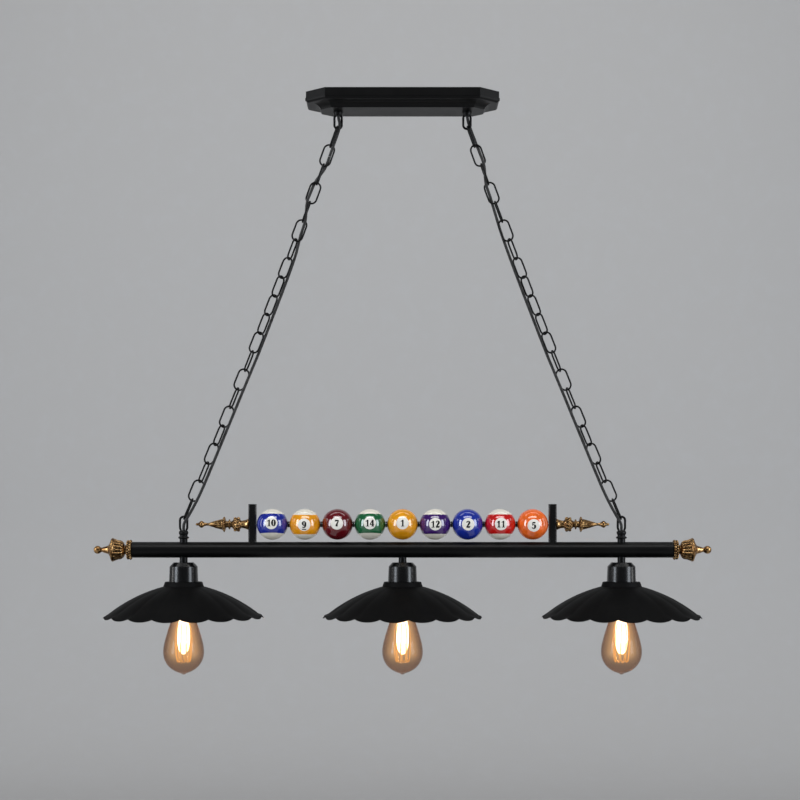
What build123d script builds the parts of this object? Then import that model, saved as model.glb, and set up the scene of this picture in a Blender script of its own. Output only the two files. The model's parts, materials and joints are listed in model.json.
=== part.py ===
from build123d import *
import os
from math import asin, atan2, cos, degrees, hypot, pi, radians, sin, tan

# Pool table lamp: a bar with three shades and a row of nine balls, hung by two chains.
# Millimetres. The origin is the middle of the ceiling plane, +Z is up, +X runs along
# the bar and the front of the lamp is -Y.

# ---------------------------------------------------------------- driving sizes
# Ceiling canopy
canopy_length = 303.0
canopy_depth = 104.0
canopy_corner_x = 31.0
canopy_corner_y = 27.0
canopy_wall = 1.2
canopy_height = 25.5
canopy_band = 12.5
ovolo_in = 5.0
ovolo_drop = 4.5
step_in = 10.7
face_in = 23.0

# Ceiling bracket
strap_width = 22.0
strap_thick = 2.0
ear_drop = 11.5
ceiling_spacing = 88.9
ceiling_hole = 5.0
side_screw = 4.0
earth_screw_x = 68.0

# Loops, the oval rings that hold the chains
canopy_loop_x = 102.0
loop_wire = 3.6
loop_open_width = 8.0
loop_open_height = 19.0
loop_stem = 12.5
loop_thread = 10.0
wireway = 7.0
canopy_loop_neck = 4.3
bar_loop_rise = 17.3

# Chains
link_count = 21
link_wire = 2.8
link_length = 37.3
link_width = 19.5
chain_bend = 3.0
chain_twist = 38.0
laced_links = 5

# Bar
bar_length = 855.0
bar_od = 25.0
bar_wall = 1.5
lamp_x = 346.5
plug_length = 12.0
finial_stud = 6.0

# Ball rack
ball_od = 49.5
ball_count = 9
ball_above_bar = 3.05
rod_od = 6.0
post_gap = 0.45
post_width = 12.4
post_depth = 14.0
post_above_rod = 32.0
post_chamfer = 1.5
spacer_od = 9.5
spacer_thick = 2.0
spear_socket = 12.0

# Lamps
stem_drop = 7.5
nipple_wall = 1.5
nut_od = 14.0
nut_thick = 4.0
cup_shoulder = 6.4
cup_height = 30.6
cup_wall = 1.0
holder_od = 38.4
holder_length = 57.0
holder_boss = 16.0
ring_thick = 5.0
shade_neck = 7.4
shade_rim_r = 126.5
shade_drop = 57.4
shade_sagitta = 6.1
shade_wall = 1.0
scallops = 18
scallop_depth = 4.8
notch_half = 9.0
notch_below = 5.0

# Bulbs
bulb_cap_od = 26.0
bulb_cap_length = 27.0
bulb_cap_wall = 0.5
bulb_cap_below_shade_top = 5.9
bulb_length = 141.0
bulb_r = 32.0
glass_wall = 0.9
cage_r = 10.0
cage_wires = 8

# Wiring
lead_od = 4.6
wire_od = 2.8

# Clearances
joint_gap = 0.3
bar_joint_gap = 0.5
rest_gap = 0.05
fit = 0.1
hole_gap = 0.1
running_gap = 0.07
bulb_gap = 0.3

# ---------------------------------------------------------------- shared places
ball_pitch = ball_od + spacer_thick
ball_lift = bar_od / 2 + ball_above_bar + ball_od / 2

# The cup, the ring and the shade's neck are as wide as the lampholder asks.
holder_r = holder_od / 2
cup_top_r = holder_r - 3.2
cup_shoulder_r = holder_r + 2.8
cup_mouth_r = holder_r + 3.6
ring_od = holder_od + 11.6
shade_neck_top_r = ring_od / 2 + 4.0
shade_neck_r = shade_neck_top_r + 3.0

loop_r = (loop_open_width + loop_wire) / 2
loop_span = loop_open_height + loop_wire - 2 * loop_r
canopy_ring_z = -(canopy_height + canopy_loop_neck + loop_r + loop_span)

link_rod = link_length - link_wire
grip_top = loop_r - (loop_wire + link_wire) / 2 - joint_gap
grip_bottom = loop_r - (loop_wire + link_wire) / 2 - bar_joint_gap


def link_bend(k):
    """Extra lean of link k in degrees: the chain sags, so the lower links lean more."""
    return chain_bend * (k / (link_count - 1) - 0.5)


def link_gap(k):
    """Gap between link k and the one above it; the first pair is a joint."""
    return joint_gap if k == 1 else rest_gap


def link_reach(k):
    """Length that link k adds along the chain, with the grip of the loop at each end."""
    reach = link_rod
    if k > 0:
        reach -= link_wire + link_gap(k)
    if k == 0:
        reach += grip_top
    if k == link_count - 1:
        reach += grip_bottom
    return reach


# The lean of the chain is the one angle at which its links span from loop to loop.
lean_cos = sum(link_reach(k) * cos(radians(link_bend(k))) for k in range(link_count))
lean_sin = sum(link_reach(k) * sin(radians(link_bend(k))) for k in range(link_count))
lean = degrees(asin((lamp_x - canopy_loop_x) / hypot(lean_cos, lean_sin)) - atan2(lean_sin, lean_cos))


def link_down(k):
    """Unit vector down link k of the right-hand chain."""
    angle = radians(lean + link_bend(k))
    return Vector(sin(angle), 0, -cos(angle))


link_tops = [Vector(canopy_loop_x, 0, canopy_ring_z) + link_down(0) * grip_top]
link_ends = []
for k in range(link_count):
    link_ends.append(link_tops[k] + link_down(k) * link_rod)
    if k + 1 < link_count:
        link_tops.append(link_ends[k] - link_down(k + 1) * (link_wire + link_gap(k + 1)))

bar_ring = link_ends[-1] + link_down(link_count - 1) * grip_bottom
bar_top_z = bar_ring.Z - loop_span - loop_r - bar_loop_rise
bar_z = bar_top_z - bar_od / 2
rod_z = bar_z + ball_lift
post_in = (ball_count - 1) / 2 * ball_pitch + ball_od / 2 + post_gap
post_out = post_in + post_width
cup_top_z = bar_z - bar_od / 2 - stem_drop
shade_top_z = cup_top_z - cup_height - rest_gap
shade_rim_z = shade_top_z - shade_drop
bulb_top_z = shade_top_z - bulb_cap_below_shade_top
holder_top_z = cup_top_z - cup_wall
nipple_end_z = holder_top_z - 9.0
lamp_places = {"left": -lamp_x, "middle": 0.0, "right": lamp_x}
sides = {"left": -1, "right": 1}

os.makedirs("parts", exist_ok=True)


def save(piece, name):
    """Label a finished piece and write it."""
    piece.part.label = name
    export_step(piece.part, f"parts/{name}.step")


def outward(side, x, z):
    """Plane of a profile that turns about an axis along X: local x runs outwards, local y up."""
    return Plane((x, 0, z), x_dir=(side, 0, 0), z_dir=(0, -side, 0))


# ---------------------------------------------------------------- ceiling canopy
half_length = canopy_length / 2
half_depth = canopy_depth / 2
corner = [
    (half_length - canopy_corner_x, -half_depth),
    (half_length, -half_depth + canopy_corner_y),
]
right_half = corner + [(x, -y) for x, y in reversed(corner)]
outline = [(0, -half_depth)] + right_half + [(-x, y) for x, y in reversed(right_half)]

with BuildPart() as canopy_cover:
    with BuildLine() as rim_path:
        Polyline(*outline, close=True)
    with BuildSketch(Plane((0, -half_depth, 0), x_dir=(0, 1, 0), z_dir=(1, 0, 0))):
        with BuildLine() as moulding:
            Line((0, 0), (0, -canopy_band))
            ThreePointArc(
                (0, -canopy_band),
                (ovolo_in * 0.29, -canopy_band - ovolo_drop * 0.71),
                (ovolo_in, -canopy_band - ovolo_drop),
            )
            Line((ovolo_in, -canopy_band - ovolo_drop), (step_in, -canopy_band - ovolo_drop))
            cove_in = face_in - step_in
            cove_drop = canopy_height - canopy_band - ovolo_drop
            ThreePointArc(
                (step_in, -canopy_band - ovolo_drop),
                (step_in + cove_in * 0.68, -canopy_height + cove_drop * 0.66),
                (face_in, -canopy_height),
            )
            Line((face_in, -canopy_height), (face_in + 3, -canopy_height))
            offset(amount=canopy_wall, side=Side.LEFT)
        make_face()
    sweep(path=rim_path.wires()[0], transition=Transition.RIGHT)
    with BuildSketch(Plane.XY.offset(-canopy_height)):
        Polygon(*outline, align=None)
        offset(amount=-face_in - 1, kind=Kind.INTERSECTION, mode=Mode.REPLACE)
    extrude(amount=canopy_wall)
    with BuildSketch(Plane.XY.offset(-canopy_height)):
        with Locations((-canopy_loop_x, 0), (canopy_loop_x, 0)):
            Circle(loop_thread / 2 + hole_gap)
    extrude(amount=canopy_wall, mode=Mode.SUBTRACT)
    with BuildSketch(Plane.YZ.offset(-half_length - 1)):
        with Locations((0, -ear_drop / 2)):
            Circle(side_screw / 2 + hole_gap)
    extrude(amount=canopy_length + 2, mode=Mode.SUBTRACT)
save(canopy_cover, "canopy_cover")

strap_end = half_length - canopy_wall - fit
with BuildPart() as ceiling_bracket:
    with BuildSketch(Plane.XY.offset(-strap_thick)):
        Rectangle(2 * strap_end, strap_width)
        with Locations((-ceiling_spacing / 2, 0), (ceiling_spacing / 2, 0)):
            Circle(ceiling_hole / 2, mode=Mode.SUBTRACT)
        with Locations((earth_screw_x, 0)):
            Circle(side_screw / 2 + hole_gap, mode=Mode.SUBTRACT)
    extrude(amount=strap_thick)
    for side in sides.values():
        with BuildSketch(outward(side, side * (strap_end - strap_thick), 0)):
            Rectangle(strap_thick, ear_drop, align=(Align.MIN, Align.MAX))
        extrude(amount=strap_width / 2, both=True)
    with BuildSketch(Plane.YZ.offset(-half_length)):
        with Locations((0, -ear_drop / 2)):
            Circle(side_screw / 2 + fit / 2)
    extrude(amount=canopy_length, mode=Mode.SUBTRACT)
save(ceiling_bracket, "ceiling_bracket")

with BuildPart() as canopy_screws:
    with BuildSketch(outward(1, half_length, -ear_drop / 2)):
        with BuildLine():
            Polyline((2.4, 0), (-8, 0), (-8, side_screw / 2), (0, side_screw / 2), (0, side_screw),
                     (1.4, side_screw - 0.6), (2.4, side_screw / 2), close=True)
        make_face()
    revolve(axis=Axis((0, 0, -ear_drop / 2), (1, 0, 0)))
    mirror(about=Plane.YZ)
save(canopy_screws, "canopy_screws")

block_bottom_z = -strap_thick - 12.0
block_length = 34.0
with BuildPart() as terminal_block:
    with BuildSketch(Plane.XY.offset(block_bottom_z)):
        Rectangle(block_length, 16)
    extrude(amount=-strap_thick - block_bottom_z)
    fillet(terminal_block.edges().filter_by(Axis.Z), radius=1.5)
    with BuildSketch(Plane.XY.offset(block_bottom_z)):
        with GridLocations(10, 9, 3, 2):
            Circle(1.8)
    extrude(amount=3, mode=Mode.SUBTRACT)
save(terminal_block, "terminal_block")

with BuildPart() as earth_screw:
    with BuildSketch(Plane.XY.offset(-strap_thick - 2.6)):
        with Locations((earth_screw_x, 0)):
            Circle(side_screw)
    extrude(amount=2.6)
    with BuildSketch(Plane.XY.offset(-strap_thick)):
        with Locations((earth_screw_x, 0)):
            Circle(side_screw / 2)
    extrude(amount=strap_thick - 0.2)
save(earth_screw, "earth_screw")


# ---------------------------------------------------------------- loops
def ring_path(x, z_top_arc):
    """Middle line of a loop's oval ring: its two half circles are loop_span apart."""
    z_low_arc = z_top_arc - loop_span
    with BuildLine(Plane.XZ) as path:
        Line((x + loop_r, z_low_arc), (x + loop_r, z_top_arc))
        ThreePointArc((x + loop_r, z_top_arc), (x, z_top_arc + loop_r), (x - loop_r, z_top_arc))
        Line((x - loop_r, z_top_arc), (x - loop_r, z_low_arc))
        ThreePointArc((x - loop_r, z_low_arc), (x, z_low_arc - loop_r), (x + loop_r, z_low_arc))
    return path.wires()[0]


nut_z = -canopy_height + canopy_wall + 1.5
for name, side in sides.items():
    x = side * canopy_loop_x
    with BuildPart() as canopy_loop:
        path = ring_path(x, canopy_ring_z + loop_span)
        with BuildSketch(Plane(path @ 0, z_dir=path % 0)):
            Circle(loop_wire / 2)
        sweep(path=path)
        with BuildSketch(outward(1, x, -canopy_height)):
            with BuildLine():
                Polyline((wireway / 2, -6.4), (loop_r, -6.4), (6.6, -4.4), (7.4, -2.2), (7.4, 0),
                         (loop_thread / 2, 0), (loop_thread / 2, 9), (wireway / 2, 9), close=True)
            make_face()
        revolve(axis=Axis((x, 0, 0), (0, 0, 1)))
        with BuildSketch(Plane.XY.offset(-canopy_height - 7)):
            with Locations((x, 0)):
                Circle(wireway / 2)
        extrude(amount=7, mode=Mode.SUBTRACT)
    save(canopy_loop, f"canopy_loop_{name}")

with BuildPart() as canopy_loop_nuts:
    for side in sides.values():
        with BuildSketch(Plane.XY.offset(nut_z - 1.5)):
            with Locations((side * canopy_loop_x, 0)):
                Circle(10.0)
                Circle(loop_thread / 2 + hole_gap, mode=Mode.SUBTRACT)
        extrude(amount=1.5)
        with BuildSketch(Plane.XY.offset(nut_z)):
            with Locations((side * canopy_loop_x, 0)):
                RegularPolygon(8.5, 6, major_radius=False)
                Circle(loop_thread / 2 + rest_gap, mode=Mode.SUBTRACT)
        extrude(amount=4.5)
save(canopy_loop_nuts, "canopy_loop_nuts")

with BuildPart() as canopy_wiring:
    for side in sides.values():
        start = (side * (block_length / 2), 0, -10)
        turn_x = side * canopy_loop_x
        with BuildLine() as wire_run:
            FilletPolyline(start, (side * 52, 0, -10), (turn_x, 0, -7), (turn_x, 0, -21), radius=[90, 9])
        with BuildSketch(Plane(start, z_dir=(wire_run.wires()[0] % 0))):
            Circle(wire_od / 2)
        sweep(path=wire_run.wires()[0])
save(canopy_wiring, "canopy_wiring")


# ---------------------------------------------------------------- chains
def link_twist(k):
    """Turn of link k about the chain: quarter turns, with a slow twist below the laced links."""
    loose = max(0, k - laced_links) / (link_count - 1 - laced_links)
    return 90.0 * (k + 1) + chain_twist * sin(2 * pi * loose)


def link_place(k, side):
    """Place of link k: its long axis lies along the chain and its width follows its twist."""
    down = link_down(k)
    across = Vector(-down.Z, 0, down.X)
    turn = radians(link_twist(k))
    width = across * cos(turn) + Vector(0, 1, 0) * sin(turn)
    middle = link_tops[k] + down * (link_rod / 2)
    return Plane(
        (side * middle.X, 0, middle.Z),
        x_dir=(side * width.X, width.Y, width.Z),
        z_dir=(-side * down.X, 0, -down.Z),
    ).location


bow_r = (link_width - link_wire) / 2
bow_z = link_rod / 2 - bow_r
with BuildPart() as link:
    with BuildLine(Plane.XZ) as bow:
        Line((bow_r, -bow_z), (bow_r, bow_z))
        ThreePointArc((bow_r, bow_z), (0, bow_z + bow_r), (-bow_r, bow_z))
        Line((-bow_r, bow_z), (-bow_r, -bow_z))
        ThreePointArc((-bow_r, -bow_z), (0, -bow_z - bow_r), (bow_r, -bow_z))
    with BuildSketch(Plane((bow_r, 0, -bow_z), z_dir=(0, 0, 1))):
        Circle(link_wire / 2)
    sweep(path=bow.wires()[0])

for name, side in sides.items():
    with BuildPart() as top_link:
        with Locations(link_place(0, side)):
            add(link.part)
    save(top_link, f"top_link_{name}")
    with BuildPart() as chain:
        with Locations(*[link_place(k, side) for k in range(1, link_count)]):
            add(link.part)
    save(chain, f"chain_{name}")


# ---------------------------------------------------------------- leads
def lead(name, route):
    """Cord tube along a hand-laid route; an arc at each corner is as large as its runs allow."""
    points = [Vector(*p) for p in route]
    radii = []
    for before, here, after in zip(points, points[1:], points[2:]):
        turn = radians((here - before).get_angle(after - here))
        run = min((here - before).length, (after - here).length)
        radii.append(0.45 * run / tan(turn / 2))
    with BuildPart() as tube:
        with BuildLine() as middle:
            FilletPolyline(*points, radius=radii)
        with BuildSketch(Plane(points[0], z_dir=points[1] - points[0])):
            Circle(lead_od / 2)
        sweep(path=middle.wires()[0])
    save(tube, name)
    length = middle.wires()[0].length
    print(name, "length", round(length, 1), "radii", [round(r) for r in radii],
          "volume over section times length", round(tube.part.volume / (pi * lead_od**2 / 4 * length), 4))


# Each lead comes out of the canopy loop, is laced through the upper links, lies along the
# inner side of the chain and goes down the bar loop. Its top stretch bends at the swing hinge.
lead("lead_top_left", [
    (-102, 0, -21.5), (-102, 0, -34), (-97.9, -4.8, -49), (-109.7, -4.5, -81.3), (-115.5, 0, -95.9),
])
lead("lead_top_right", [
    (102, 0, -21.5), (102, 0, -35), (106.8, 4.9, -49), (118.2, 4.5, -78.2), (123.2, 0, -93.1),
])
lead("lead_left", [
    (-115.7, 0.15, -96.5), (-120.5, 4.5, -110.9), (-130.2, 4.1, -124.2), (-139.9, 4.5, -137.5),
    (-145, 0, -152.5), (-150.9, -4.5, -167.2), (-152.2, -4.1, -183.6), (-153.5, -4.5, -200),
    (-159.4, 0, -214.7), (-164.2, 4.4, -229.8), (-171.4, 3.9, -260.8), (-228.4, 3.9, -408.7),
    (-240.1, -3.9, -438.1), (-312.3, -4, -613.9), (-325.9, -4.8, -643), (-335.2, -5.2, -660),
    (-341, -5.4, -670), (-346, -4.6, -678), (-346.5, 0.2, -689), (-346.5, 0, -695.5),
])
lead("lead_right", [
    (123.4, -0.15, -93.7), (129, -4.5, -107.8), (130.2, -4.1, -124.2), (131.4, -4.5, -140.6),
    (137.3, 0, -155.4), (142.4, 4.5, -170.3), (160.4, 3.9, -231.2), (228.4, 3.9, -408.7),
    (240.1, -3.9, -438.1), (312.3, -4, -613.9), (325.9, -4.8, -643), (335.2, -5.2, -660),
    (341, -5.4, -670), (346, -4.6, -678), (346.5, 0.2, -689), (346.5, 0, -695.5),
])


# ---------------------------------------------------------------- bar
bar_axis = Axis((0, 0, bar_z), (1, 0, 0))
with BuildPart() as bar_tube:
    with BuildSketch(Plane((-bar_length / 2, 0, bar_z), z_dir=(1, 0, 0))):
        Circle(bar_od / 2)
        Circle(bar_od / 2 - bar_wall, mode=Mode.SUBTRACT)
    extrude(amount=bar_length)
    with BuildSketch(Plane.XY.offset(bar_z)):
        with Locations(*[(x, 0) for x in lamp_places.values()]):
            Circle(loop_thread / 2 + hole_gap)
    extrude(amount=-bar_od, mode=Mode.SUBTRACT)
    with BuildSketch(Plane.XY.offset(bar_z)):
        with Locations((-lamp_x, 0), (lamp_x, 0)):
            Circle(loop_thread / 2 + hole_gap)
    extrude(amount=bar_od, mode=Mode.SUBTRACT)
save(bar_tube, "bar_tube")


# What is saddled on the bar is cut to this outside.
with BuildPart() as bar_outside:
    with BuildSketch(Plane((-bar_length / 2, 0, bar_z), z_dir=(1, 0, 0))):
        Circle(bar_od / 2)
    extrude(amount=bar_length)

low_arc_z = bar_ring.Z - loop_span
ring_foot_z = low_arc_z - loop_r
thread_top_z = bar_top_z + 9
for name, side in sides.items():
    x = side * lamp_x
    with BuildPart() as bar_loop:
        path = ring_path(x, bar_ring.Z)
        with BuildSketch(Plane(path @ 0, z_dir=path % 0)):
            Circle(loop_wire / 2)
        sweep(path=path)
        with BuildSketch(outward(1, x, ring_foot_z)):
            with BuildLine():
                half_stem = loop_stem / 2
                Line((0, 1), (5.2, 1))
                ThreePointArc((5.2, 1), (7.6, -3.2), (half_stem, -6.2))
                Line((half_stem, -6.2), (half_stem, -8.6))
                ThreePointArc((half_stem, -8.6), (8.5, -10.4), (half_stem, -12.2))
                Line((half_stem, -12.2), (half_stem, bar_z - ring_foot_z))
                Line((half_stem, bar_z - ring_foot_z), (0, bar_z - ring_foot_z))
                Line((0, bar_z - ring_foot_z), (0, 1))
            make_face()
        revolve(axis=Axis((x, 0, 0), (0, 0, 1)))
        with BuildSketch(Plane.XY.offset(bar_z)):
            with Locations((x, 0)):
                Circle(loop_thread / 2 + rest_gap)
        extrude(amount=thread_top_z - bar_z, mode=Mode.SUBTRACT)
        with BuildSketch(Plane.XY.offset(thread_top_z - 1)):
            with Locations((x, 0)):
                Circle(wireway / 2)
        extrude(amount=low_arc_z - thread_top_z, mode=Mode.SUBTRACT)
        add(bar_outside.part, mode=Mode.SUBTRACT)
    save(bar_loop, f"bar_loop_{name}")

with BuildPart() as lamp_nipples:
    for name, x in lamp_places.items():
        top_z = bar_z + 1.0 if name == "middle" else thread_top_z - 0.5
        with BuildSketch(Plane.XY.offset(nipple_end_z)):
            with Locations((x, 0)):
                Circle(loop_thread / 2)
                Circle(loop_thread / 2 - nipple_wall, mode=Mode.SUBTRACT)
        extrude(amount=top_z - nipple_end_z)
save(lamp_nipples, "lamp_nipples")

tube_r = bar_od / 2 - bar_wall
nut_seat_z = bar_z - (tube_r**2 - (nut_od / 2) ** 2) ** 0.5 + rest_gap
with BuildPart() as nipple_nut:
    with BuildSketch(Plane.XY.offset(nut_seat_z)):
        Circle(nut_od / 2)
        Circle(loop_thread / 2 + rest_gap, mode=Mode.SUBTRACT)
    extrude(amount=nut_thick)
save(nipple_nut, "nipple_nut")

with BuildPart() as lamp_stems:
    with BuildSketch(Plane.XY.offset(cup_top_z)):
        with Locations(*[(x, 0) for x in lamp_places.values()]):
            Circle(loop_stem / 2)
            Circle(loop_thread / 2 + rest_gap, mode=Mode.SUBTRACT)
    extrude(amount=bar_z - cup_top_z)
    add(bar_outside.part, mode=Mode.SUBTRACT)
save(lamp_stems, "lamp_stems")

with BuildPart() as end_plugs:
    for side in sides.values():
        with BuildSketch(outward(side, side * bar_length / 2, bar_z)):
            with Locations((-plug_length - 1, finial_stud / 2 + rest_gap)):
                Rectangle(plug_length, tube_r - finial_stud / 2 - 2 * rest_gap, align=(Align.MIN, Align.MIN))
        revolve(axis=bar_axis)
save(end_plugs, "end_plugs")

wire_y = (tube_r + loop_thread / 2) / 2
with BuildPart() as bar_wiring:
    for side in sides.values():
        with BuildSketch(Plane((side * (lamp_x - 8), 0, bar_z), z_dir=(-side, 0, 0))):
            with Locations((side * wire_y, 0)):
                Circle(wire_od / 2)
        extrude(amount=lamp_x - 20)
save(bar_wiring, "bar_wiring")

# Finials: turned brass, each outline runs outwards from the face that it is screwed against.
for name, side in sides.items():
    with BuildPart() as end_finial:
        with BuildSketch(outward(side, side * bar_length / 2, bar_z)):
            with BuildLine():
                Polyline((0, finial_stud / 2), (-9, finial_stud / 2), (-9, 0), (61.5, 0))
                ThreePointArc((61.5, 0), (55.1, 6.4), (49.6, 3.3))
                Spline((49.6, 3.3), (39, 6.4), (33, 17), tangents=[(-1, 0.1), (-0.15, 1)])
                ThreePointArc((33, 17), (31.2, 18.8), (29, 17.2))
                Spline((29, 17.2), (20, 15), (12, 6.6), tangents=[(-1, -0.6), (-0.5, -1)])
                Line((12, 6.6), (8, 9.5))
                ThreePointArc((8, 9.5), (4.6, 16.6), (1.2, 11))
                Polyline((1.2, 11), (0, 11), (0, finial_stud / 2))
            make_face()
        revolve(axis=bar_axis)
    save(end_finial, f"end_finial_{name}")

# ---------------------------------------------------------------- ball rack
rod_axis = Axis((0, 0, rod_z), (1, 0, 0))
for name, side in sides.items():
    with BuildPart() as ball_post:
        with BuildSketch(Plane.XY.offset(bar_z)):
            with Locations((side * (post_in + post_out) / 2, 0)):
                Rectangle(post_width, post_depth)
        extrude(amount=rod_z + post_above_rod - bar_z)
        chamfer(ball_post.edges().filter_by(Axis.Z), length=post_chamfer)
        add(bar_outside.part, mode=Mode.SUBTRACT)
        with BuildSketch(Plane((side * post_in - 20, 0, rod_z), z_dir=(1, 0, 0))):
            Circle(rod_od / 2 + hole_gap)
        extrude(amount=40, mode=Mode.SUBTRACT)
    save(ball_post, f"ball_post_{name}")

    with BuildPart() as spear_finial:
        with BuildSketch(outward(side, side * post_out, rod_z)):
            with BuildLine():
                Polyline((spear_socket, 0), (84, 0), (80, 2.1), (78, 3.5))
                ThreePointArc((78, 3.5), (75.2, 5.7), (70, 3))
                Spline((70, 3), (64, 2.1), (52, 6), (41.7, 8.6), tangents=[(-1, -0.3), (-1, 0.1)])
                Line((41.7, 8.6), (40.6, 10.2))
                ThreePointArc((40.6, 10.2), (38.6, 12.4), (36.6, 10))
                Polyline((36.6, 10), (35.4, 5.2), (33, 5), (31.4, 8), (29, 8), (27.4, 4.6), (25.4, 6))
                ThreePointArc((25.4, 6), (19, 12.3), (11.5, 5.7))
                Polyline((11.5, 5.7), (5, 7), (2, 8.7), (0, 8.7), (0, rod_od / 2 + rest_gap),
                         (spear_socket, rod_od / 2 + rest_gap), (spear_socket, 0))
            make_face()
        revolve(axis=rod_axis)
    save(spear_finial, f"spear_finial_{name}")

rod_half = post_out + spear_socket - 1
with BuildPart() as ball_rod:
    with BuildSketch(Plane((-rod_half, 0, rod_z), z_dir=(1, 0, 0))):
        Circle(rod_od / 2)
    extrude(amount=2 * rod_half)
save(ball_rod, "ball_rod")

ball_xs = [(i - (ball_count - 1) / 2) * ball_pitch for i in range(ball_count)]
with BuildPart() as ball_spacers:
    for x in ball_xs[1:]:
        with BuildSketch(Plane((x - ball_pitch / 2 - spacer_thick / 2, 0, rod_z), z_dir=(1, 0, 0))):
            Circle(spacer_od / 2)
            Circle(rod_od / 2 + rest_gap, mode=Mode.SUBTRACT)
        extrude(amount=spacer_thick)
save(ball_spacers, "ball_spacers")

for i, x in enumerate(ball_xs):
    with BuildPart() as ball:
        with Locations((x, 0, rod_z)):
            Sphere(ball_od / 2)
        with BuildSketch(Plane((x - ball_od / 2, 0, rod_z), z_dir=(1, 0, 0))):
            Circle(rod_od / 2 + running_gap)
        extrude(amount=ball_od, mode=Mode.SUBTRACT)
    save(ball, f"ball_{i + 1}")

# ---------------------------------------------------------------- lamps
lamp_axes = {name: Axis((x, 0, 0), (0, 0, 1)) for name, x in lamp_places.items()}

with BuildPart() as lampholders:
    for name, x in lamp_places.items():
        with BuildSketch(outward(1, x, holder_top_z)):
            with BuildLine():
                bore_r = bulb_cap_od / 2 + bulb_gap
                bore_top = bulb_top_z - holder_top_z + 0.5
                Polyline((loop_thread / 2 + rest_gap, 0), (holder_boss / 2, 0), (holder_boss / 2, -5),
                         (holder_r - 1, -6.5), (holder_r, -8), (holder_r, -holder_length),
                         (bore_r, -holder_length), (bore_r, bore_top), (loop_thread / 2 - 1.5, bore_top),
                         (loop_thread / 2 - 1.5, nipple_end_z - holder_top_z - rest_gap),
                         (loop_thread / 2 + rest_gap, nipple_end_z - holder_top_z - rest_gap), close=True)
            make_face()
        revolve(axis=lamp_axes[name])
save(lampholders, "lampholders")

with BuildPart() as shade_rings:
    for name, x in lamp_places.items():
        with BuildSketch(Plane.XY.offset(shade_top_z - shade_wall - ring_thick)):
            with Locations((x, 0)):
                Circle(ring_od / 2)
                Circle(holder_r + rest_gap, mode=Mode.SUBTRACT)
        extrude(amount=ring_thick)
save(shade_rings, "shade_rings")

for name, x in lamp_places.items():
    with BuildPart() as socket_cup:
        with BuildSketch(outward(1, x, cup_top_z)):
            with BuildLine():
                Polyline((0, 0), (cup_top_r, 0), (cup_shoulder_r, -cup_shoulder), (cup_mouth_r, -cup_height))
                offset(amount=cup_wall, side=Side.RIGHT)
            make_face()
        revolve(axis=lamp_axes[name])
        with BuildSketch(Plane.XY.offset(cup_top_z - 2)):
            with Locations((x, 0)):
                Circle(loop_thread / 2 + hole_gap)
        extrude(amount=4, mode=Mode.SUBTRACT)
    save(socket_cup, f"socket_cup_{name}")

    with BuildPart() as shade:
        with BuildSketch(outward(1, x, shade_top_z)):
            with BuildLine():
                Polyline((holder_r + 0.8, 0), (shade_neck_top_r, 0), (shade_neck_r, -shade_neck))
                SagittaArc((shade_neck_r, -shade_neck), (shade_rim_r, -shade_drop), shade_sagitta)
                offset(amount=shade_wall, side=Side.RIGHT)
            make_face()
        revolve(axis=lamp_axes[name])
        # A notch at each crease leaves the rim's scallops.
        for i in range(scallops):
            around = radians(360 / scallops * i)
            crease = Plane((x, 0, shade_rim_z), x_dir=(-sin(around), cos(around), 0),
                           z_dir=(cos(around), sin(around), 0))
            with BuildSketch(crease):
                Polygon((-notch_half, -notch_below), (notch_half, -notch_below), (0, scallop_depth),
                        align=None)
            extrude(amount=shade_rim_r + 5, mode=Mode.SUBTRACT)
    save(shade, f"shade_{name}")


def glass_outline(wall):
    """Points down the side of the bulb's glass, moved in by wall."""
    return [(bulb_cap_od / 2 - 0.8 - wall, -bulb_cap_length + 2), (24 - wall, -61.5),
            (bulb_r - wall, -107), (24.4 - wall, -129), (0, -bulb_length + wall)]


for name, x in lamp_places.items():
    with BuildPart() as bulb_glass:
        with BuildSketch(outward(1, x, bulb_top_z)):
            with BuildLine():
                outside = Spline(*glass_outline(0), tangents=[(0, -1), (-1, 0)])
                inside = Spline(*glass_outline(glass_wall), tangents=[(0, -1), (-1, 0)])
                Line(outside @ 0, inside @ 0)
                Line(outside @ 1, inside @ 1)
            make_face()
        revolve(axis=lamp_axes[name])
    save(bulb_glass, f"bulb_glass_{name}")

    with BuildPart() as bulb_cap:
        with BuildSketch(outward(1, x, bulb_top_z)):
            with BuildLine():
                cap_r = bulb_cap_od / 2
                Polyline((0, 0), (4.8, 0), (5.5, -2), (11.5, -5), (cap_r, -7), (cap_r, -bulb_cap_length),
                         (cap_r - bulb_cap_wall, -bulb_cap_length), (cap_r - bulb_cap_wall, -8), (0, -8),
                         close=True)
            make_face()
        revolve(axis=lamp_axes[name])
    save(bulb_cap, f"bulb_cap_{name}")

    with BuildPart() as bulb_filament:
        with BuildSketch(outward(1, x, bulb_top_z)):
            with BuildLine():
                Polyline((0, -8), (cap_r - 3, -8), (cap_r - 3, -14), (5, -24), (2.6, -46),
                         (2.6, -116), (0, -116), close=True)
            make_face()
        revolve(axis=lamp_axes[name])
        with BuildSketch(Plane.XY.offset(bulb_top_z - 58), Plane.XY.offset(bulb_top_z - 114)):
            with Locations((x, 0)):
                Circle(cage_r + 0.6)
        extrude(amount=0.8)
        with BuildSketch(Plane.XY.offset(bulb_top_z - 113.5)):
            with Locations((x, 0)):
                with PolarLocations(cage_r, cage_wires):
                    Circle(0.4)
        extrude(amount=56)
    save(bulb_filament, f"bulb_filament_{name}")
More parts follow.
